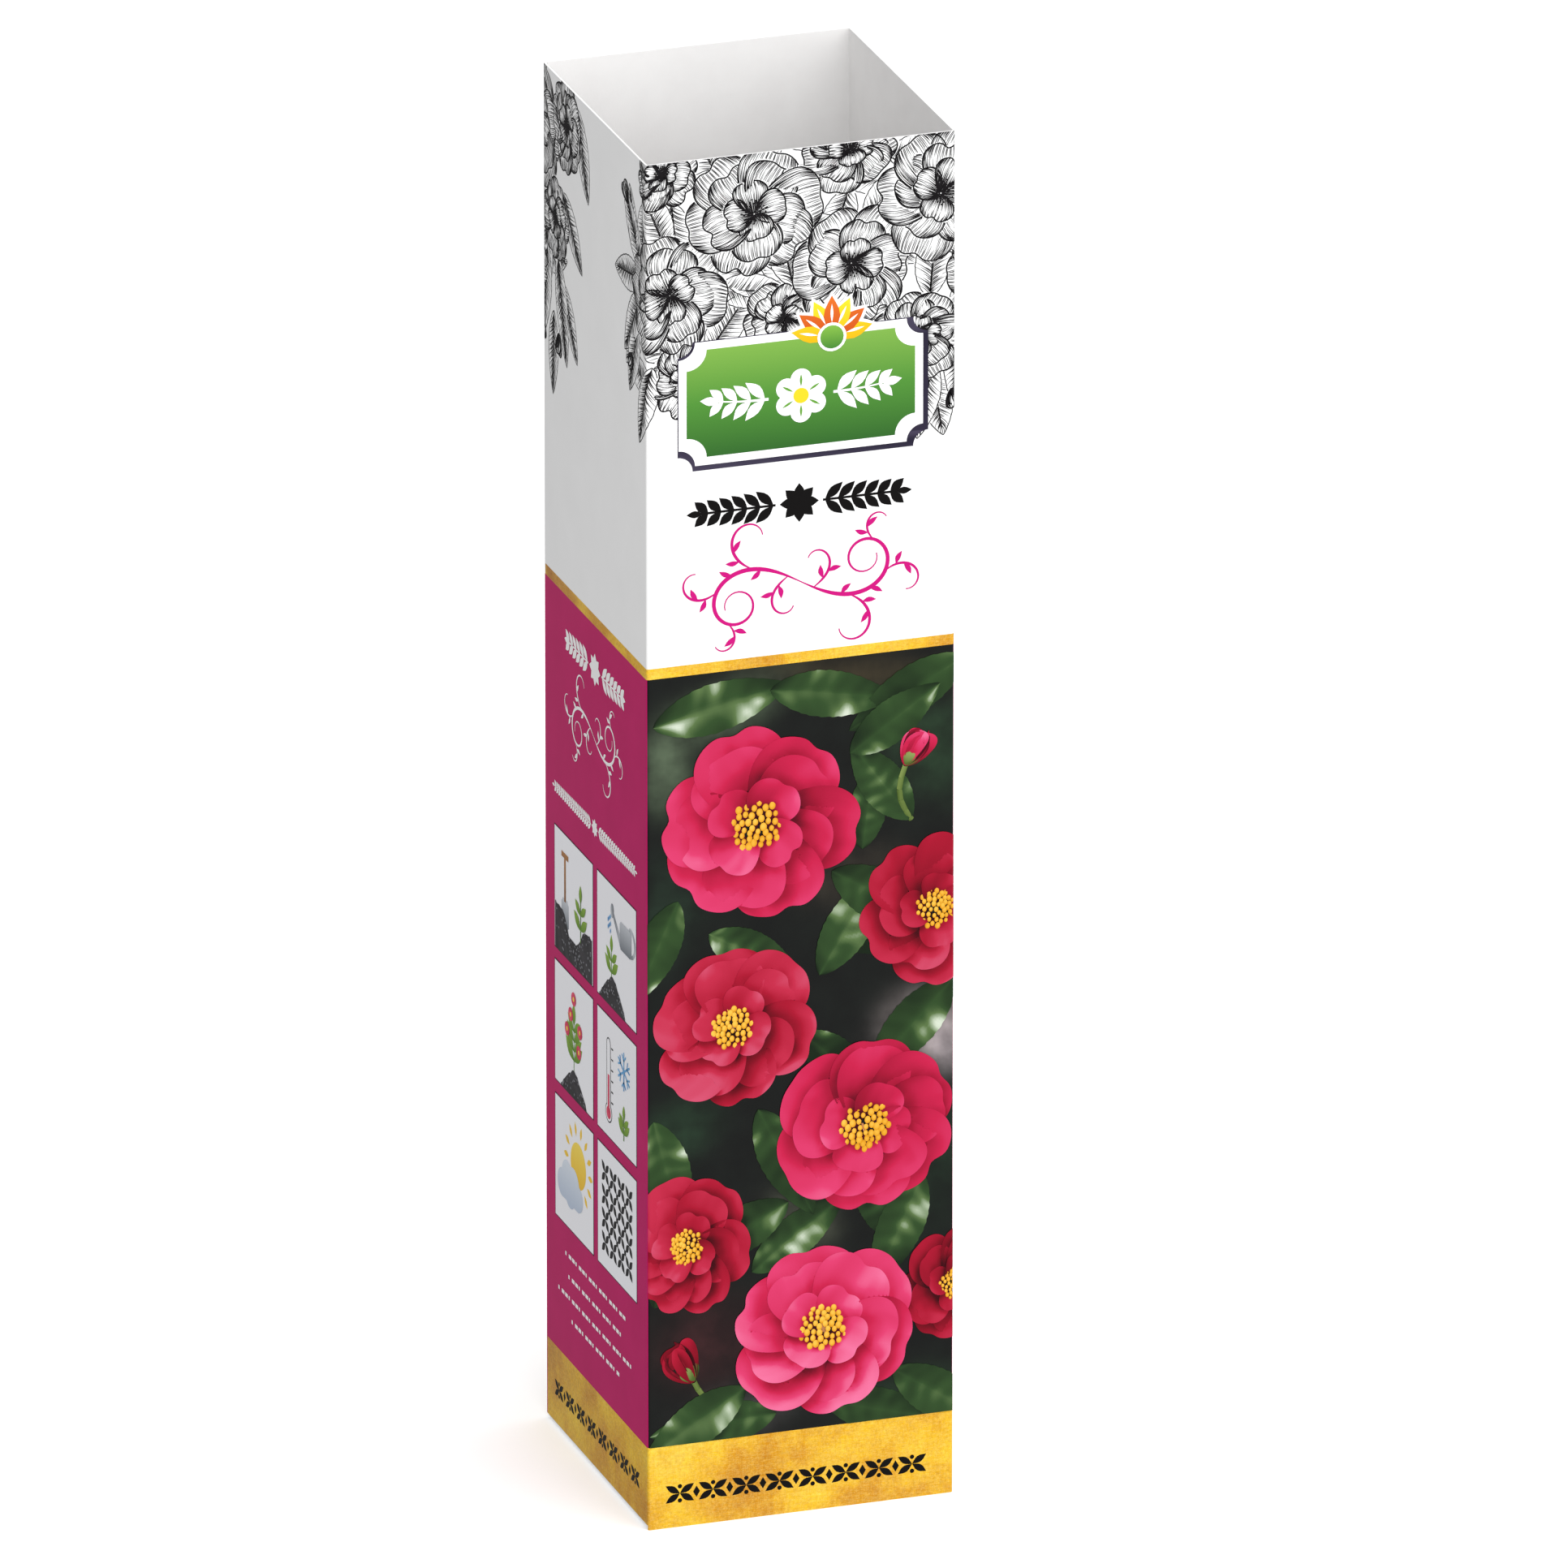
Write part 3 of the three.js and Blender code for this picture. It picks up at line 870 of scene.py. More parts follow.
def makeBouquet():
    chance = random.Random(bouquet["seed"])
    garden = newGarden(bouquet["inks"])
    for (x, y), radius, tilt, towards, ink, depth in bouquet["blossoms"]:
        place = facing(x, y, depth, tilt, towards, chance.uniform(0, 360))
        for form in blossomForms(bouquet["whorls"], radius, place, ink, chance):
            growSheet(garden, form, plants["bigPetalGrid"])
        growStamens(garden, place, radius, chance)
    for (x, y), size, angle, ink, depth, (stalkX, stalkY) in bouquet["buds"]:
        place, steps = facing(x, y, depth, 80, angle), bouquet["stalkSteps"]
        petals = blossomForms(bouquet["budWhorls"], size, place, ink, chance)
        for form in petals + blossomForms(bouquet["sepals"], size, place, "sepal", random.Random(size)):
            growSheet(garden, form, plants["petalGrid"])
        aside, bow = Vector((stalkY - y, x - stalkX, 0)), []
        for step in range(steps + 1):
            spot = Vector((x, y, depth)).lerp(Vector((stalkX, stalkY, depth - 8)), step / steps)
            bow.append(spot + aside * bouquet["stalkBow"] * math.sin(math.pi * step / steps))
        for foot, tip in zip(bow, bow[1:]):
            growStalk(garden, foot, tip, bouquet["stalk"], bouquet["stalk"], "sepal", 8)
    for (x, y), *leaf in bouquet["leaves"]:
        growSheet(garden, leafForm(x, y, *leaf, chance), plants["leafGrid"])
    pressFlat(garden)
    bm = garden["bm"]
    for axis, low, high in ((0, 0, carton["width"]), (1, picture["low"], picture["high"])):
        cutAt(bm, axis, low, "below")
        cutAt(bm, axis, high, "above")
    smoothFaces(bm)
    printSheet("picture_bouquet", garden, "bouquetInks", 0.36)


makeBouquet()


# Drawn marks: ribbons, leaves, discs and plates lying flat on the sheet
stack = {"step": 0.003, "turns": 9}  # marks that follow each other never share a level where they cross


def lay(sheet, verts, ink, level, shade=None):  # gives new faces their ink and their lift
    names = list(sheet["inks"])
    uv, row = sheet["bm"].loops.layers.uv["OFBake"], names.index(ink)
    sheet["laid"] += 1
    for vert in verts:
        vert.co.z = level + stack["step"] * (sheet["laid"] % stack["turns"])
    for face in facesOf(verts):
        for loop in face.loops:
            x, y = loop.vert.co.x, loop.vert.co.y
            tone = shade(x, y) if shade else 0.5 + 0.4 * math.sin(0.9 * x + 0.4 * y)
            loop[uv].uv = inkPlace(tone, row, 0.5 + 0.3 * math.sin(0.8 * y - 0.5 * x), names)


# Ribbons are lists of (point, width). All of one length are made as one grid, which is then parted.
def ribbonMarks(sheet, ribbons, ink, level, apart=0):
    bm = sheet["bm"]
    for count in sorted({len(ribbon) for ribbon in ribbons}):
        group = [ribbon for ribbon in ribbons if len(ribbon) == count]
        grid = newGrid(bm, count - 1, 2 * len(group) - 1)
        owner = {vert: index // (2 * count) for index, vert in enumerate(grid)}
        for number, ribbon in enumerate(group):
            for index, (point, width) in enumerate(ribbon):
                ahead = ribbon[min(index + 1, count - 1)][0] - ribbon[max(index - 1, 0)][0]
                aside = Vector((-ahead.y, ahead.x)).normalized() * width / 2
                right = 2 * number * count + index
                grid[right].co = (*(point - aside), level)
                grid[right + count].co = (*(point + aside), level)
        between = [f for f in facesOf(grid) if len({owner[v] for v in f.verts}) > 1]
        bmesh.ops.delete(bm, geom=between, context="FACES_ONLY")
        loose = [e for e in {e for v in grid for e in v.link_edges} if not e.link_faces]
        bmesh.ops.delete(bm, geom=loose, context="EDGES")
        lay(sheet, grid, ink, level)
        for vert in grid:
            vert.co.z += apart * owner[vert]


def leafMark(sheet, foot, angle, length, width, ink, level, shade=None, arch=0):
    ring = newRing(sheet, 18)
    turn = Matrix.Rotation(math.radians(angle), 2)
    for vert in ring:
        reach = (1 + vert.co.x) / 2
        swell = math.sin(math.pi * min(1, max(0, reach)))
        across = math.copysign(width / 2 * swell ** 1.15, vert.co.y) if abs(vert.co.y) > 1e-6 else 0
        spot = turn @ Vector((reach * length, across + arch * swell))
        vert.co = (foot[0] + spot.x, foot[1] + spot.y, 0)
    lay(sheet, ring, ink, level, shade)


def discMark(sheet, centre, radius, ink, level, segments=20, tall=None, shade=None):
    ring = newRing(sheet, segments)
    for vert in ring:
        vert.co = (centre[0] + vert.co.x * radius, centre[1] + vert.co.y * (tall or radius), 0)
    lay(sheet, ring, ink, level, shade)


def blockMark(sheet, left, low, right, high, ink, level, shade=None):
    grid = newGrid(sheet["bm"], 1, 1)
    for vert in grid:
        vert.co = (right if vert.co.x > 0 else left, high if vert.co.y > 0 else low, 0)
    lay(sheet, grid, ink, level, shade)


# A panel whose corners are scooped out.
def plaqueMark(sheet, middle, reach, notch, grow, ink, level, shade=None):
    quarter, scoop = 10, notch - grow * 0.45
    ring = newRing(sheet, 4 * quarter)
    for index, vert in enumerate(ring):
        step = index % quarter / (quarter - 1)
        signX, signY = ((1, 1), (-1, 1), (-1, -1), (1, -1))[index // quarter]
        turn = math.radians(90 * (step if signX * signY < 0 else 1 - step))
        vert.co = (middle[0] + signX * (reach[0] + grow - scoop * math.cos(turn)),
                   middle[1] + signY * (reach[1] + grow - scoop * math.sin(turn)), 0)
    if sum(face.normal.z for face in facesOf(ring)) < 0:
        bmesh.ops.reverse_faces(sheet["bm"], faces=list(facesOf(ring)))
    lay(sheet, ring, ink, level, shade)


# A curve whose bend grows steadily along it, which winds into a spiral.
def scroll(start, heading, bend, growth, length, steps):
    points, spot, step = [], Vector(start), length / steps
    for index in range(steps + 1):
        points.append(spot.copy())
        along = (index + 0.5) * step
        spot += ray(math.radians(heading) + bend * along + growth * along * along / 2) * step
    return points


def brushWidths(count, thin, thick, peak):
    widths = []
    for index in range(count):
        share = index / (count - 1)
        share = 0.5 * share / peak if share < peak else 1 - 0.5 * (1 - share) / (1 - peak)
        widths.append(thin + (thick - thin) * math.sin(math.pi * share) ** 1.3)
    return widths


def mirrored(side, angle):  # an angle drawn for the right, or its mirror image
    return angle if side > 0 else 180 - angle


def laurelDivider(sheet, centre, reach, size, ink, level):  # a rosette between two leafy branches
    x, y = centre
    for petal in range(8):
        leafMark(sheet, centre, 90 + 45 * petal, size, size * 0.56, ink, level)
    for side in (-1, 1):
        inner, outer = x + side * size * 1.2, x + side * reach
        blockMark(sheet, min(inner, outer), y - size * 0.06, max(inner, outer), y + size * 0.06, ink, level)
        pairs = round((reach - size * 1.6) / (size * 0.66))
        for pair in range(pairs):
            foot = x + side * (size * 1.3 + pair * size * 0.66)
            length = size * (1.22 - 0.32 * pair / pairs)
            for lean in (42, -42):
                leafMark(sheet, (foot, y), mirrored(side, lean), length, size * 0.48, ink, level)
        tip = (x + side * (reach - size * 0.6), y)
        leafMark(sheet, tip, mirrored(side, 0), size * 0.85, size * 0.36, ink, level)


def leafRow(sheet, left, right, y, size, ink, level):  # crossed leaves and lozenges in a row
    count = round((right - left) / (size * 2.05))
    pitch = (right - left) / count
    for index in range(count):
        x = left + (index + 0.5) * pitch
        for angle in (32, 148, 212, 328):
            leafMark(sheet, (x, y), angle, size * 0.98, size * 0.40, ink, level)
        for side in (1, -1):
            discMark(sheet, (x, y + side * size * 0.42), size * 0.13, ink, level, 12)
        if index < count - 1:
            discMark(sheet, (x + pitch / 2, y), size * 0.20, ink, level, 4, size * 0.34)


def flourish(sheet, centre, size, ink, level):  # a long S wound up at either end, with branches and leaves
    middle, ribbons = Vector(centre), []
    stem = scroll((0, 0), -30, 0, 2.9, 2.45, 60)

    def headingOf(points, at):
        ahead = points[at + 1] - points[at]
        return math.degrees(math.atan2(ahead.y, ahead.x))

    def addStroke(points, thick, peak):
        widths = brushWidths(len(points), 0.012 * size, thick * size, peak)
        for sign in (1, -1):
            ribbons.append([(middle + point * size * sign, width) for point, width in zip(points, widths)])
        return points

    addStroke(stem, 0.050, 0.25)
    strokes = [stem]
    # along the stem, lean, bend, growth of the bend, length and thickness
    for at, lean, bend, growth, length, thick in (
            (14, -22, -1.6, -6, 0.95, 0.034), (26, -28, -2.5, -9, 0.70, 0.030),
            (4, 62, 0.6, 14, 0.70, 0.030), (37, -30, -3, -16, 0.50, 0.024)):
        branch = scroll(stem[at], headingOf(stem, at) + lean, bend, growth, length, 40)
        strokes.append(addStroke(branch, thick, 0.3))
    ribbonMarks(sheet, ribbons, ink, level, stack["step"])
    for points in strokes:
        for at, lean in ((len(points) // 5, 52), (len(points) // 3, -50)):
            for sign, turn in ((1, 0), (-1, 180)):
                leafMark(sheet, middle + points[at] * size * sign, headingOf(points, at) + lean + turn,
                         0.16 * size, 0.058 * size, ink, level + 0.03, arch=0.012 * size)


# Line drawing of blossoms round the top
drawing = {
    "seed": 31,
    "ink": colour(24, 22, 24),
    "lift": 0.03,
    "line": 0.25,
    "gap": 0.5,  # between hatch lines
    "stamens": 34,
    "stamenTip": 0.62,
    "overlap": 30,  # how far the drawing runs on past the seam
    "whorls": [(6, 1.0, 1.04, 6, 12, 0.03), (5, 0.78, 0.88, 20, -16, 0.03),
               (4, 0.50, 0.58, 42, -40, 0.02)],
    "budWhorls": [(4, 1.7, 1.5, 62, 40, 0.05), (3, 1.4, 1.3, 76, 26, 0.02)],
    # round the carton from the front left fold, height, radius, tilt and its direction, depth
    "blossoms": [
        (8, 407, 20, 16, 200, 2), (35, 430, 22, 14, 100, 6), (66, 411, 20, 20, 320, -2),
        (95, 430, 22, 16, 30, 5), (88, 386, 16, 20, 270, 0), (14, 379, 13, 24, 210, -6),
        (-76, 436, 16, 24, 150, -2), (-88, 404, 15, 22, 230, 2), (66, 447, 16, 26, 90, -7),
        (45, 396, 14, 30, 260, -8), (6, 446, 13, 30, 140, -8)],
    "buds": [(-17, 432, 4.4, 128, 1), (-85, 366, 4.2, 264, 2), (-13, 384, 3.8, 236, 1),
             (99, 366, 3.8, 280, 1)],
    "leaves": [
        (-2, 412, 128, 32, 10, -6), (-4, 408, 236, 30, 11, -6), (-10, 416, 104, 24, 9, -7),
        (-8, 396, 252, 26, 10, -7), (-66, 446, 290, 30, 11, -6), (-80, 414, 310, 28, 10, -7),
        (-86, 392, 284, 36, 11, -5), (-96, 392, 262, 32, 11, -6), (-80, 384, 300, 26, 9, -6),
        (-90, 372, 268, 28, 9, -7), (2, 384, 252, 28, 10, -7), (93, 376, 258, 26, 9, -6),
        (102, 402, 276, 27, 11, -7)],
    # more leaves spread out behind each blossom of the front: their number, length, width and depth
    "spread": 5,
    "spreadLength": 25,
    "spreadWidth": 11,
    "spreadDepth": -12,
}


def petalStrokes(form, chance):  # lines over a petal as (points, width, share that stays full)
    line = drawing["line"]
    edge = [(math.cos(t / 28 * math.pi), math.sin(t / 28 * math.pi)) for t in range(57)]
    strokes = [([(x / max(abs(x), abs(y)), y / max(abs(x), abs(y))) for x, y in edge], line * 1.9, 1)]
    count = round(form["width"] / drawing["gap"])
    for number in range(count):
        across = -0.94 + 1.88 * (number + chance.uniform(0.25, 0.75)) / count
        deep = 1.0 + 0.9 * chance.random()
        long = [(across * (0.9 + 0.1 * t / 14), -0.96 + deep * t / 14) for t in range(15)]
        strokes.append((long, line, 0))
        if number % 3 or abs(across) > 0.6:
            short = chance.uniform(0.28, 0.8)
            strokes.append(([(across, 0.96 - short * t / 8) for t in range(9)], line, 0))
    for side in (-1, 1):  # a few long lines follow the rolled edges
        for inset in (0.80, 0.88, 0.95):
            strokes.append(([(side * inset, -0.9 + 1.75 * t / 20) for t in range(21)], line, 0.3))
    return strokes


def leafStrokes(form, chance):
    line = drawing["line"]
    margin = [(-1 if t < 30 else 1, -0.999 + 1.998 * (t if t < 30 else 59 - t) / 29) for t in range(60)]
    strokes = [(margin, line * 1.3, 1)]
    for side in (-0.03, 0.03):
        strokes.append(([(side, -1 + 1.96 * t / 24) for t in range(25)], line * 1.2, 0.5))
    count = round(form["length"] / (drawing["gap"] * 1.15))
    for number in range(count):
        foot = -0.97 + 1.72 * number / count
        for side in (-1, 1):
            full = 1 if number % 3 == 0 else chance.uniform(0.35, 0.85)
            if side < 0 or number % 4 != 1:
                vein = [(side * full * t / 9, foot + 0.30 * full * (t / 9) ** 0.8) for t in range(10)]
                strokes.append((vein, line, 0.1))
    return strokes


def visibleRuns(tree, form, stroke):  # the parts of a stroke that nothing hides, as ribbons
    places, width, full = stroke
    runs, run, last = [], [], len(stroke[0]) - 1
    for index, (across, along) in enumerate(places):
        spot = form["point"](form, across, along)
        hidden = tree.ray_cast(spot + up * 0.2, up, 100)[0] is not None
        taper = full + (1 - full) * math.sin(math.pi * (0.25 + 0.75 * index / last)) ** 0.8
        if not hidden:
            run.append((spot.to_2d(), width * max(0.25, taper)))
        if hidden or index == last:
            runs.append(run)
            run = []
    return [run for run in runs if len(run) > 2]


def runsOn(place):  # the same place one turn round the carton away, where that is near enough to be seen
    for shift in (-2 * carton["width"], 2 * carton["width"]):
        if abs(place.translation.x + shift) < carton["width"] + drawing["overlap"]:
            yield Matrix.Translation((shift, 0, 0)) @ place


def makeDrawing():
    chance = random.Random(drawing["seed"])
    forms, hearts = [], []
    for x, y, radius, tilt, towards, depth in drawing["blossoms"]:
        place = facing(x, y, depth, tilt, towards, chance.uniform(0, 360))
        forms += blossomForms(drawing["whorls"], radius, place, "ink", chance, 0.1, 0.07)
        hearts.append((place, radius))
    for x, y, size, angle, depth in drawing["buds"]:
        forms += blossomForms(drawing["budWhorls"], size, facing(x, y, depth, 84, angle), "ink", chance)
    forms += [leafForm(*leaf, chance, "ink") for leaf in drawing["leaves"]]
    for x, y, radius, *_ in drawing["blossoms"]:
        for number in range(drawing["spread"] if x > 0 else 0):
            turn = 360 / drawing["spread"] * number + chance.uniform(-24, 24)
            foot = Vector((x, y)) + ray(math.radians(turn)) * radius * 0.7
            forms.append(leafForm(*foot, turn + chance.uniform(-30, 30), drawing["spreadLength"],
                                  drawing["spreadWidth"], drawing["spreadDepth"] - number, chance, "ink"))
    forms += [dict(form, place=place) for form in forms for place in runsOn(form["place"])]
    hearts += [(further, radius) for place, radius in hearts for further in runsOn(place)]
    shapes = newGarden({"ink": 0})
    for form in forms:
        growSheet(shapes, form, plants["petalGrid"])
    tree = BVHTree.FromBMesh(shapes["bm"])
    shapes["bm"].free()
    ribbons = []
    for form in forms:
        for stroke in (petalStrokes if form["point"] is petalPoint else leafStrokes)(form, chance):
            ribbons += visibleRuns(tree, form, stroke)
    for place, radius in hearts:
        for number in range(drawing["stamens"]):
            ring, turn = 0.05 + 0.15 * math.sqrt(number / drawing["stamens"]), number * goldenTurn
            outwards = ray(turn).to_3d()
            foot = place @ (outwards * 0.04 * radius)
            tip = place @ ((outwards * ring + up * 0.2) * radius)
            ribbons.append([(foot.lerp(tip, t / 4).to_2d(), drawing["line"] * 0.8) for t in range(5)])
            ribbons.append([(tip.to_2d() + Vector((0.36 * t, 0)), drawing["stamenTip"] * (1 - t * t))
                            for t in (-0.99, -0.5, 0, 0.5, 0.99)])
    sheet = newSheet({"ink": drawing["ink"]})
    ribbonMarks(sheet, ribbons, "ink", drawing["lift"])
    cutAt(sheet["bm"], 1, carton["height"], "above")
    cutAt(sheet["bm"], 0, -carton["width"], "below")
    cutAt(sheet["bm"], 0, carton["width"], "above")
    printSheet("line_drawing", sheet, "drawingInk", 0.5)


makeDrawing()

emblem = {
    "middle": (50, 370.5),
    "half": (37, 17.5),  # of the green plaque
    "notch": 6.5,
    "rim": 2.6,
    "shadow": (0.7, -0.7),
    "bands": 12,  # across the plaque, for its shade
    "crest": 13.5,
    "crestPetals": [12 + 26 * petal for petal in range(7)],  # their angles
    "inks": {
        "shadow": stops((0, 30, 26, 44), (1, 70, 64, 84)),
        "white": colour(252, 252, 252),
        "green": stops((0, 46, 96, 40), (0.5, 78, 138, 54), (1, 124, 172, 74)),
        "yellow": stops((0, 238, 178, 20), (1, 255, 224, 50)),
        "orange": stops((0, 196, 78, 24), (1, 222, 112, 40)),
        "leafy": stops((0, 60, 124, 48), (1, 128, 180, 70)),
    },
}


def slope(low, height):  # a shade that grows with the height on the sheet
    return lambda x, y: min(1, max(0, (y - low) / height))


def even(shade):
    return lambda x, y: shade


def makeEmblem():
    sheet = newSheet(emblem["inks"])
    (x, y), (wide, tall), notch, rim = emblem["middle"], emblem["half"], emblem["notch"], emblem["rim"]
    crestFoot, crest = Vector((x + 10, y + tall - 0.5)), emblem["crest"]
    layers = {name: 0.06 + 0.035 * index for index, name in enumerate(
        ("shadow", "rim", "green", "crest", "leaves", "heart", "top"))}
    right, down = emblem["shadow"]
    plaqueMark(sheet, (x + right, y + down), (wide, tall), notch, rim + 1, "shadow", layers["shadow"])
    plaqueMark(sheet, (x, y), (wide, tall), notch, rim, "white", layers["rim"])
    for angle in emblem["crestPetals"]:
        leafMark(sheet, crestFoot, angle, crest + 1.4, 7.4, "white", layers["rim"])
    plaqueMark(sheet, (x, y), (wide, tall), notch, 0, "green", layers["green"])
    bm, bands, rows = sheet["bm"], emblem["bands"], len(emblem["inks"])
    for step in range(1, bands):
        cutAt(bm, 1, y - tall + 2 * tall * step / bands)
    uv, greenRow = bm.loops.layers.uv["OFBake"], (list(emblem["inks"]).index("green") + 0.5) / rows
    for face in bm.faces:
        for loop in face.loops:
            if abs(loop[uv].uv.y - greenRow) < 0.4 / rows:
                loop[uv].uv.x = 0.02 + 0.96 * slope(y - tall, 2 * tall)(0, loop.vert.co.y)
    for petal, angle in enumerate(emblem["crestPetals"]):
        leafMark(sheet, crestFoot, angle, crest, 5.4, "orange" if petal % 2 else "yellow", layers["crest"],
                 slope(crestFoot.y, crest))
        leafMark(sheet, crestFoot + ray(math.radians(angle)) * 4.6, angle, crest * 0.46, 0.9, "white",
                 layers["leaves"])
    discMark(sheet, crestFoot, 4.7, "white", layers["heart"])
    discMark(sheet, crestFoot, 3.8, "leafy", layers["top"], shade=slope(crestFoot.y - 4, 8))
    ribbons, middle = [], Vector((x, y - 1))
    for side in (-1, 1):  # white laurel branches either side of a white blossom
        branch = scroll((side * 10.5, 0), mirrored(side, 0), side * 0.004, side * 0.0008, 18, 16)
        ribbons.append([(middle + point, 0.9 - 0.035 * index) for index, point in enumerate(branch)])
        for index in range(1, 14, 4):
            for lean in (44, -44):
                leafMark(sheet, middle + branch[index], mirrored(side, lean), 9.2 - 0.22 * index,
                         3.5 - 0.05 * index, "white", layers["leaves"], arch=0.4 * side)
        leafMark(sheet, middle + branch[14], mirrored(side, 8), 6.6, 2.9, "white", layers["leaves"])
    ribbonMarks(sheet, ribbons, "white", layers["crest"])
    for angle in range(90, 450, 60):
        outwards = ray(math.radians(angle))
        discMark(sheet, middle + outwards * 5.4, 3.4, "white", layers["leaves"], 28)
        leafMark(sheet, middle, angle, 7, 3.4, "white", layers["leaves"])
        leafMark(sheet, middle + outwards * 2.9, angle, 4.2, 0.8, "leafy", layers["heart"], even(0.5))
    discMark(sheet, middle, 2.5, "yellow", layers["top"], shade=even(0.6))
    printSheet("emblem", sheet, "emblemInks", 0.3)


makeEmblem()

ornaments = {
    "level": 0.05,
    "black": colour(12, 10, 10),
    "magenta": colour(196, 20, 120),
    "white": (0.93, 0.92, 0.925, 1),
    # middle, reach and size
    "title": ((49.5, 334.5), 35, 6.4),
    "script": ((50, 308.5), 29),
    "sideTitle": ((-50.5, 267.5), 28.5, 5.4),
    "sideScript": ((-52, 245), 21.5),
    "sideHeading": ((-51, 215), 41, 3.0),
    "goldRows": [(5, 92, 11.2, 5.6), (-93, -7, 13.5, 5.0)],  # left, right, height and size
    # left, right and height
    "rules": [(-81, -21, 62.5), (-78, -24, 55.5), (-88, -14, 48.5), (-75, -27, 41.5)],
    "dash": 2.6,
    "dashGap": 0.8,
    "dashThick": 1.3,
}


def makeOrnaments():
    marks = ("ink", ornaments["level"])
    black, magenta, white = [newSheet({"ink": ornaments[name]}) for name in ("black", "magenta", "white")]
    laurelDivider(black, *ornaments["title"], *marks)
    for row in ornaments["goldRows"]:
        leafRow(black, *row, *marks)
    printSheet("black_ornaments", black, "blackInk")
    flourish(magenta, *ornaments["script"], *marks)
    printSheet("magenta_flourish", magenta, "flourishInk")
    laurelDivider(white, *ornaments["sideTitle"], *marks)
    flourish(white, *ornaments["sideScript"], *marks)
    laurelDivider(white, *ornaments["sideHeading"], *marks)
    thick = ornaments["dashThick"] / 2
    for left, right, height in ornaments["rules"]:  # rows of small dashes where fine print would stand
        count = round((right - left) / (ornaments["dash"] + ornaments["dashGap"]))
        for dash in range(count):
            start = left + (right - left) * dash / count
            end = start + ornaments["dash"] * (1 if dash % 3 else 0.45)
            blockMark(white, start, height - thick, end, height + thick, *marks)
    printSheet("white_ornaments", white, "whiteInk")


makeOrnaments()

tiles = {
    "seed": 9,
    "columns": ((-90.5, -53), (-48.5, -10.5)),
    "rows": ((161.8, 202.1), (117.5, 157.3), (72.2, 112.5)),
    "outline": 0.4,
    "level": 0.08,
    "step": 0.03,  # each layer of a tile's picture lies this much higher
    "inks": {
        "tile": colour(246, 246, 250),
        "outline": colour(60, 24, 40),
        "soil": stops((0, 30, 28, 30), (1, 62, 60, 64)),
        "stone": stops((0, 92, 92, 98), (1, 150, 150, 156)),
        "leaf": stops((0, 84, 128, 34), (1, 160, 196, 72)),
        "stem": colour(96, 138, 48),
        "steel": stops((0, 110, 116, 124), (1, 206, 210, 216)),
        "wood": stops((0, 120, 76, 40), (1, 186, 132, 80)),
        "yellow": stops((0, 240, 190, 40), (1, 252, 224, 96)),
        "red": stops((0, 196, 30, 70), (1, 236, 92, 124)),
        "cloud": stops((0, 176, 190, 212), (1, 222, 230, 240)),
        "water": stops((0, 70, 140, 200), (1, 130, 190, 232)),
        "ink": colour(26, 24, 26),
    },
}


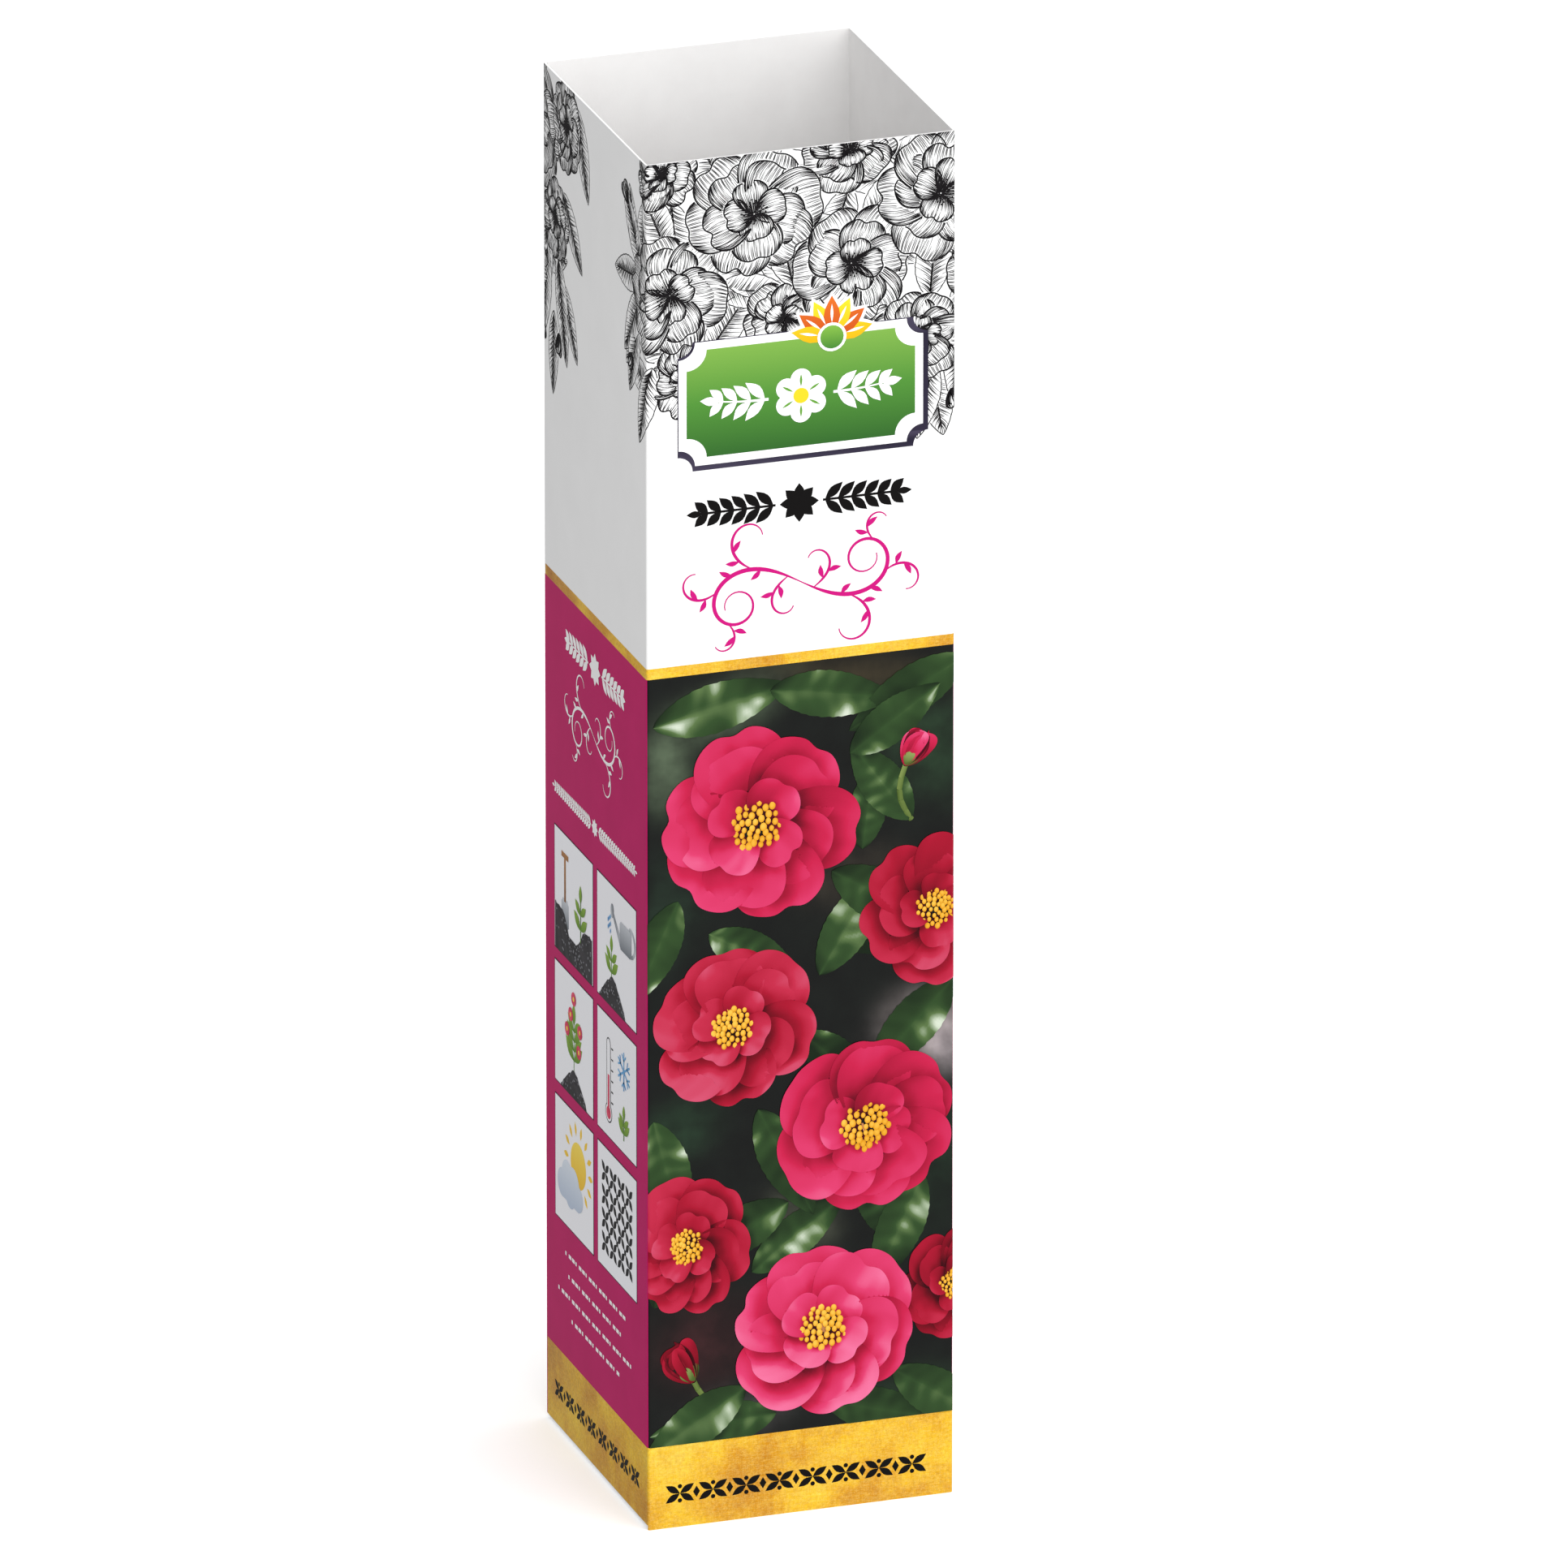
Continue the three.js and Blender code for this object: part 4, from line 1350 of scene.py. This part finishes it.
def makeTiles():
    sheet = newSheet(tiles["inks"])
    chance = random.Random(tiles["seed"])
    layer = [0]

    def level():
        layer[0] += 1
        return tiles["level"] + tiles["step"] * layer[0]

    def soil(x, base, wide, tall, dip=0):  # a heap of crumbs, or a hollow with dip
        def crest(share):
            return tall * (1 - dip * math.exp(-(share / 0.42) ** 4) if dip else 1 - abs(share) ** 1.5)

        height = level()
        ring = newRing(sheet, 48)
        for vert in ring:
            share = vert.co.x
            rough = 0.35 * math.sin(31 * share) + 0.25 * math.sin(57 * share + 1)
            rise = max(0.1, crest(share) + rough) if vert.co.y > 0 else 0
            vert.co = (x + share * wide / 2, base + rise, 0)
        lay(sheet, ring, "soil", height)
        height = level()
        for crumb in range(round(wide * tall / 5)):
            share, rise = chance.uniform(-0.92, 0.92), chance.random() ** 0.8
            spot = (x + share * wide / 2, base + 0.5 + rise * max(0, crest(share) - 1))
            size, flat = chance.uniform(0.28, 0.6), chance.uniform(0.25, 0.5)
            discMark(sheet, spot, size, "stone" if crumb % 3 else "soil", height, 7, flat,
                     lambda px, py: chance.random())

    def sprig(x, base, tall, pairs, size):
        blockMark(sheet, x - 0.3, base, x + 0.3, base + tall * 0.9, "stem", level())
        height = level()
        for pair in range(pairs):
            foot = base + tall * (0.25 + 0.62 * pair / pairs)
            length = size * (1.15 - 0.4 * pair / pairs)
            for angle in (38, 142):
                leafMark(sheet, (x, foot), angle, length, length * 0.42, "leaf", height,
                         slope(foot - 1, length + 1))
        leafMark(sheet, (x, base + tall * 0.8), 90, size * 0.9, size * 0.4, "leaf", height + 0.005,
                 slope(base + tall * 0.7, tall * 0.3 + size))

    def spade(x, low):  # a spade standing in the ground
        plaqueMark(sheet, (x, low + 5), (3.6, 5), 1.2, 0, "steel", level(), slope(low, 10))
        height = level()
        blockMark(sheet, x - 0.8, low + 9, x + 0.8, low + 24, "wood", height, slope(low + 6, 20))
        blockMark(sheet, x - 3.4, low + 23.4, x + 3.4, low + 25.2, "wood", height + 0.005,
                  slope(low + 20, 6))

    def wateringCan(x, y):
        height = level()
        plaqueMark(sheet, (x, y), (5.6, 4.6), 0.8, 0, "steel", height, slope(y - 5, 11))
        handle = [(Vector((x + 4.6 + 4.4 * math.cos(turn), y + 0.6 + 4.4 * math.sin(turn))), 1.2)
                  for turn in map(math.radians, range(-80, 101, 12))]
        spout = [(Vector((x - 4.8 - 8 * t / 6, y - 2.6 + 7.6 * t / 6)), 2.4 - 1.3 * t / 6)
                 for t in range(7)]
        ribbonMarks(sheet, [handle, spout], "steel", height - 0.005)
        discMark(sheet, (x - 13, y + 5.2), 1.4, "steel", height + 0.005, 14, 2.4)
        for drop in range(7):
            row, place = drop // 3, drop % 3
            leafMark(sheet, (x - 14.6 - 1.1 * place, y + 3.6 - 2.4 * row - 0.8 * place), 260, 1.9, 0.9,
                     "water", height + 0.005)

    def sun(x, y, radius, rays=14):
        height = level()
        for number in range(rays):
            angle = 360 / rays * number
            turn, start = math.radians(angle), 1.25 * radius
            leafMark(sheet, (x + start * math.cos(turn), y + start * math.sin(turn)), angle, radius * 0.62,
                     radius * 0.26, "yellow", height, even(0.3))
        discMark(sheet, (x, y), radius, "yellow", height, 32, shade=slope(y - radius, 2 * radius))

    def cloud(x, y, size):
        height, shade = level(), slope(y - size, 2 * size)
        for dx, dy, radius in ((-0.9, 0, 0.55), (-0.35, 0.42, 0.62), (0.35, 0.3, 0.7), (0.95, 0, 0.5),
                               (0, -0.1, 0.6)):
            discMark(sheet, (x + dx * size, y + dy * size), radius * size, "cloud", height + 0.001 * dx, 24,
                     shade=shade)
        blockMark(sheet, x - size, y - 0.54 * size, x + size, y, "cloud", height + 0.004, shade)

    def snowStar(x, y, radius):
        height, middle = level(), Vector((x, y))
        for arm in range(6):
            out = ray(math.radians(60 * arm + 30))
            aside = Vector((-out.y, out.x))
            lines = [[(middle + out * radius * t / 2, 0.7) for t in range(3)]]
            for side in (-1, 1):
                lines.append([(middle + out * radius * (0.55 + 0.3 * t / 2)
                               + aside * side * radius * 0.3 * t / 2, 0.6) for t in range(3)])
            ribbonMarks(sheet, lines, "water", height + 0.001 * arm)

    def thermometer(x, low, tall, thin=1.3, bulb=2.6, marks=6):
        for grow, ink in ((0.7, "ink"), (0.25, "tile")):
            height = level()
            blockMark(sheet, x - thin - grow, low, x + thin + grow, low + tall, ink, height)
            discMark(sheet, (x, low), bulb + grow, ink, height + 0.002, 24)
            discMark(sheet, (x, low + tall), thin + grow, ink, height + 0.002, 16)
        height = level()
        discMark(sheet, (x, low), 2.1, "red", height)
        blockMark(sheet, x - 0.8, low, x + 0.8, low + tall * 0.55, "red", height + 0.002)
        for mark in range(marks):
            foot = low + 4 + mark * (tall - 5) / (marks - 1)
            blockMark(sheet, x + 2.6, foot, x + 4.4, foot + 0.5, "ink", height)

    def berries(x, low):  # round blossoms over a shrub
        height = level()
        for dx, dy in ((-6.5, 21), (6, 24), (0, 33), (-3, 27), (5, 17)):
            discMark(sheet, (x + dx, low + dy), 2.3, "red", height, 14)
            discMark(sheet, (x + dx, low + dy), 0.8, "yellow", height + 0.01, 10)

    def lattice(left, low, right, high, cells=4):  # a diamond lattice of leaves and dots
        height, wide, tall = level(), (right - left) / cells, (high - low) / cells
        for column in range(cells):
            for row in range(cells):
                x, y = left + (column + 0.5) * wide, low + (row + 0.5) * tall
                for angle in (45, 135, 225, 315):
                    leafMark(sheet, (x, y), angle, wide * 0.62, wide * 0.30, "ink", height)
                if column and row:
                    discMark(sheet, (x - wide / 2, y - tall / 2), wide * 0.13, "ink", height + 0.002, 12)

    # the parts of each tile's picture, placed from the middle of its foot
    pictures = [
        ((spade, -8.5, 9), (soil, 0, 0, 36.5, 15, 0.5), (sprig, 7, 10, 16, 2, 7)),
        ((sprig, -5, 8, 12, 2, 7), (soil, -4, 0, 26, 10), (wateringCan, 9, 27)),
        ((sprig, 0, 7, 21, 4, 9), (soil, 0, 0, 26, 9), (berries, 0, 0)),
        ((thermometer, -8, 8, 23), (snowStar, 7, 27, 6.4), (sprig, 7, 4, 8, 2, 6)),
        ((sun, 4, 24, 7.6), (cloud, -4, 13, 8.6)),
        (),
    ]
    places = [(column, row) for row in tiles["rows"] for column in tiles["columns"]]
    for ((left, right), (low, high)), parts in zip(places, pictures):
        edge, ground, layer[0] = tiles["outline"], tiles["level"], 0
        blockMark(sheet, left - edge, low - edge, right + edge, high + edge, "outline",
                  ground - tiles["step"])
        blockMark(sheet, left, low, right, high, "tile", ground)
        for draw, x, y, *rest in parts:
            draw((left + right) / 2 + x, low + y, *rest)
    lattice(left + 3.5, low + 4.5, right - 3.5, high - 4.5)
    printSheet("care_tiles", sheet, "tileInks", 0.36)


makeTiles()

camera = {
    "azimuth": -18.664,
    "elevation": 20.835,
    "distance": 10,
    "lens": 741.25,
    "right": 0.01084,  # how far the aim lies beside and below the carton's middle
    "down": 0.00106,
}


def makeCamera():
    azimuth, elevation = math.radians(camera["azimuth"]), math.radians(camera["elevation"])
    back = Vector((math.sin(azimuth) * math.cos(elevation), -math.cos(azimuth) * math.cos(elevation),
                   math.sin(elevation)))
    right = Vector((math.cos(azimuth), math.sin(azimuth), 0))
    above = back.cross(right)
    aim = Vector((0, 0, carton["height"] / 2 * mm)) + right * camera["right"] - above * camera["down"]
    data = bpy.data.cameras.new("camera")
    data.sensor_width = 36
    data.lens = camera["lens"]
    data.clip_start, data.clip_end = 0.1, 100
    seen = bpy.data.objects.new("camera", data)
    seen.location = aim + back * camera["distance"]
    seen.rotation_euler = Matrix((right, above, back)).transposed().to_euler()
    bpy.context.scene.collection.objects.link(seen)
    bpy.context.scene.camera = seen
    print("STAGE camera")


studio = {
    "floor": 4,  # metres across
    "floorShade": grey(0.93),
    "floorGlow": 0.2,
    "fill": 0.66,  # light from all round
    "slope": (0.16, -0.16, 0.24),  # how much brighter it gets towards the right, the front and the top
    "key": 1.55,  # a broad soft light from above the front
    "keyFrom": (0.26, -0.80, 0.54),
}


def makeWorld():
    world = bpy.data.worlds.new("softLight")
    world.use_nodes = True
    tree = world.node_tree
    direction = addNode(tree, "ShaderNodeTexCoord").outputs["Generated"]

    def towards(vector):
        return addNode(tree, "ShaderNodeVectorMath", {0: direction, 1: vector},
                       operation="DOT_PRODUCT").outputs["Value"]

    front = maths(tree, "MAXIMUM", towards(studio["keyFrom"]), 0)
    key = maths(tree, "MULTIPLY", maths(tree, "POWER", front, 2), studio["key"])
    strength = maths(tree, "ADD", maths(tree, "ADD", key, studio["fill"]), towards(studio["slope"]))
    feed(tree.nodes["Background"], {"Color": grey(1), "Strength": strength})
    bpy.context.scene.world = world
    bpy.context.scene.view_settings.view_transform = "Standard"
    print("STAGE light")


def makeFloor():
    bm = bmesh.new()
    bmesh.ops.create_grid(bm, x_segments=1, y_segments=1, size=studio["floor"] / 2)
    mesh = bpy.data.meshes.new("floor")
    bm.to_mesh(mesh)
    bm.free()
    material, tree, shader = newMaterial("paleFloor", 0.9)
    feed(shader, {"Base Color": studio["floorShade"], "Emission Color": grey(1),
                  "Emission Strength": studio["floorGlow"]})
    fromBelow = addNode(tree, "ShaderNodeNewGeometry").outputs["Backfacing"]
    clear = addNode(tree, "ShaderNodeBsdfTransparent").outputs[0]
    surface = addNode(tree, "ShaderNodeMixShader", {0: fromBelow, 1: shader.outputs[0], 2: clear})
    feed(tree.nodes["Material Output"], {"Surface": surface.outputs[0]})
    mesh.materials.append(material)
    floor = bpy.data.objects.new("floor", mesh)
    bpy.context.scene.collection.objects.link(floor)
    floor.visible_diffuse = False  # the walls are lit by the soft light alone
    floor.visible_glossy = False
    print("STAGE floor")


makeCamera()
makeWorld()
makeFloor()
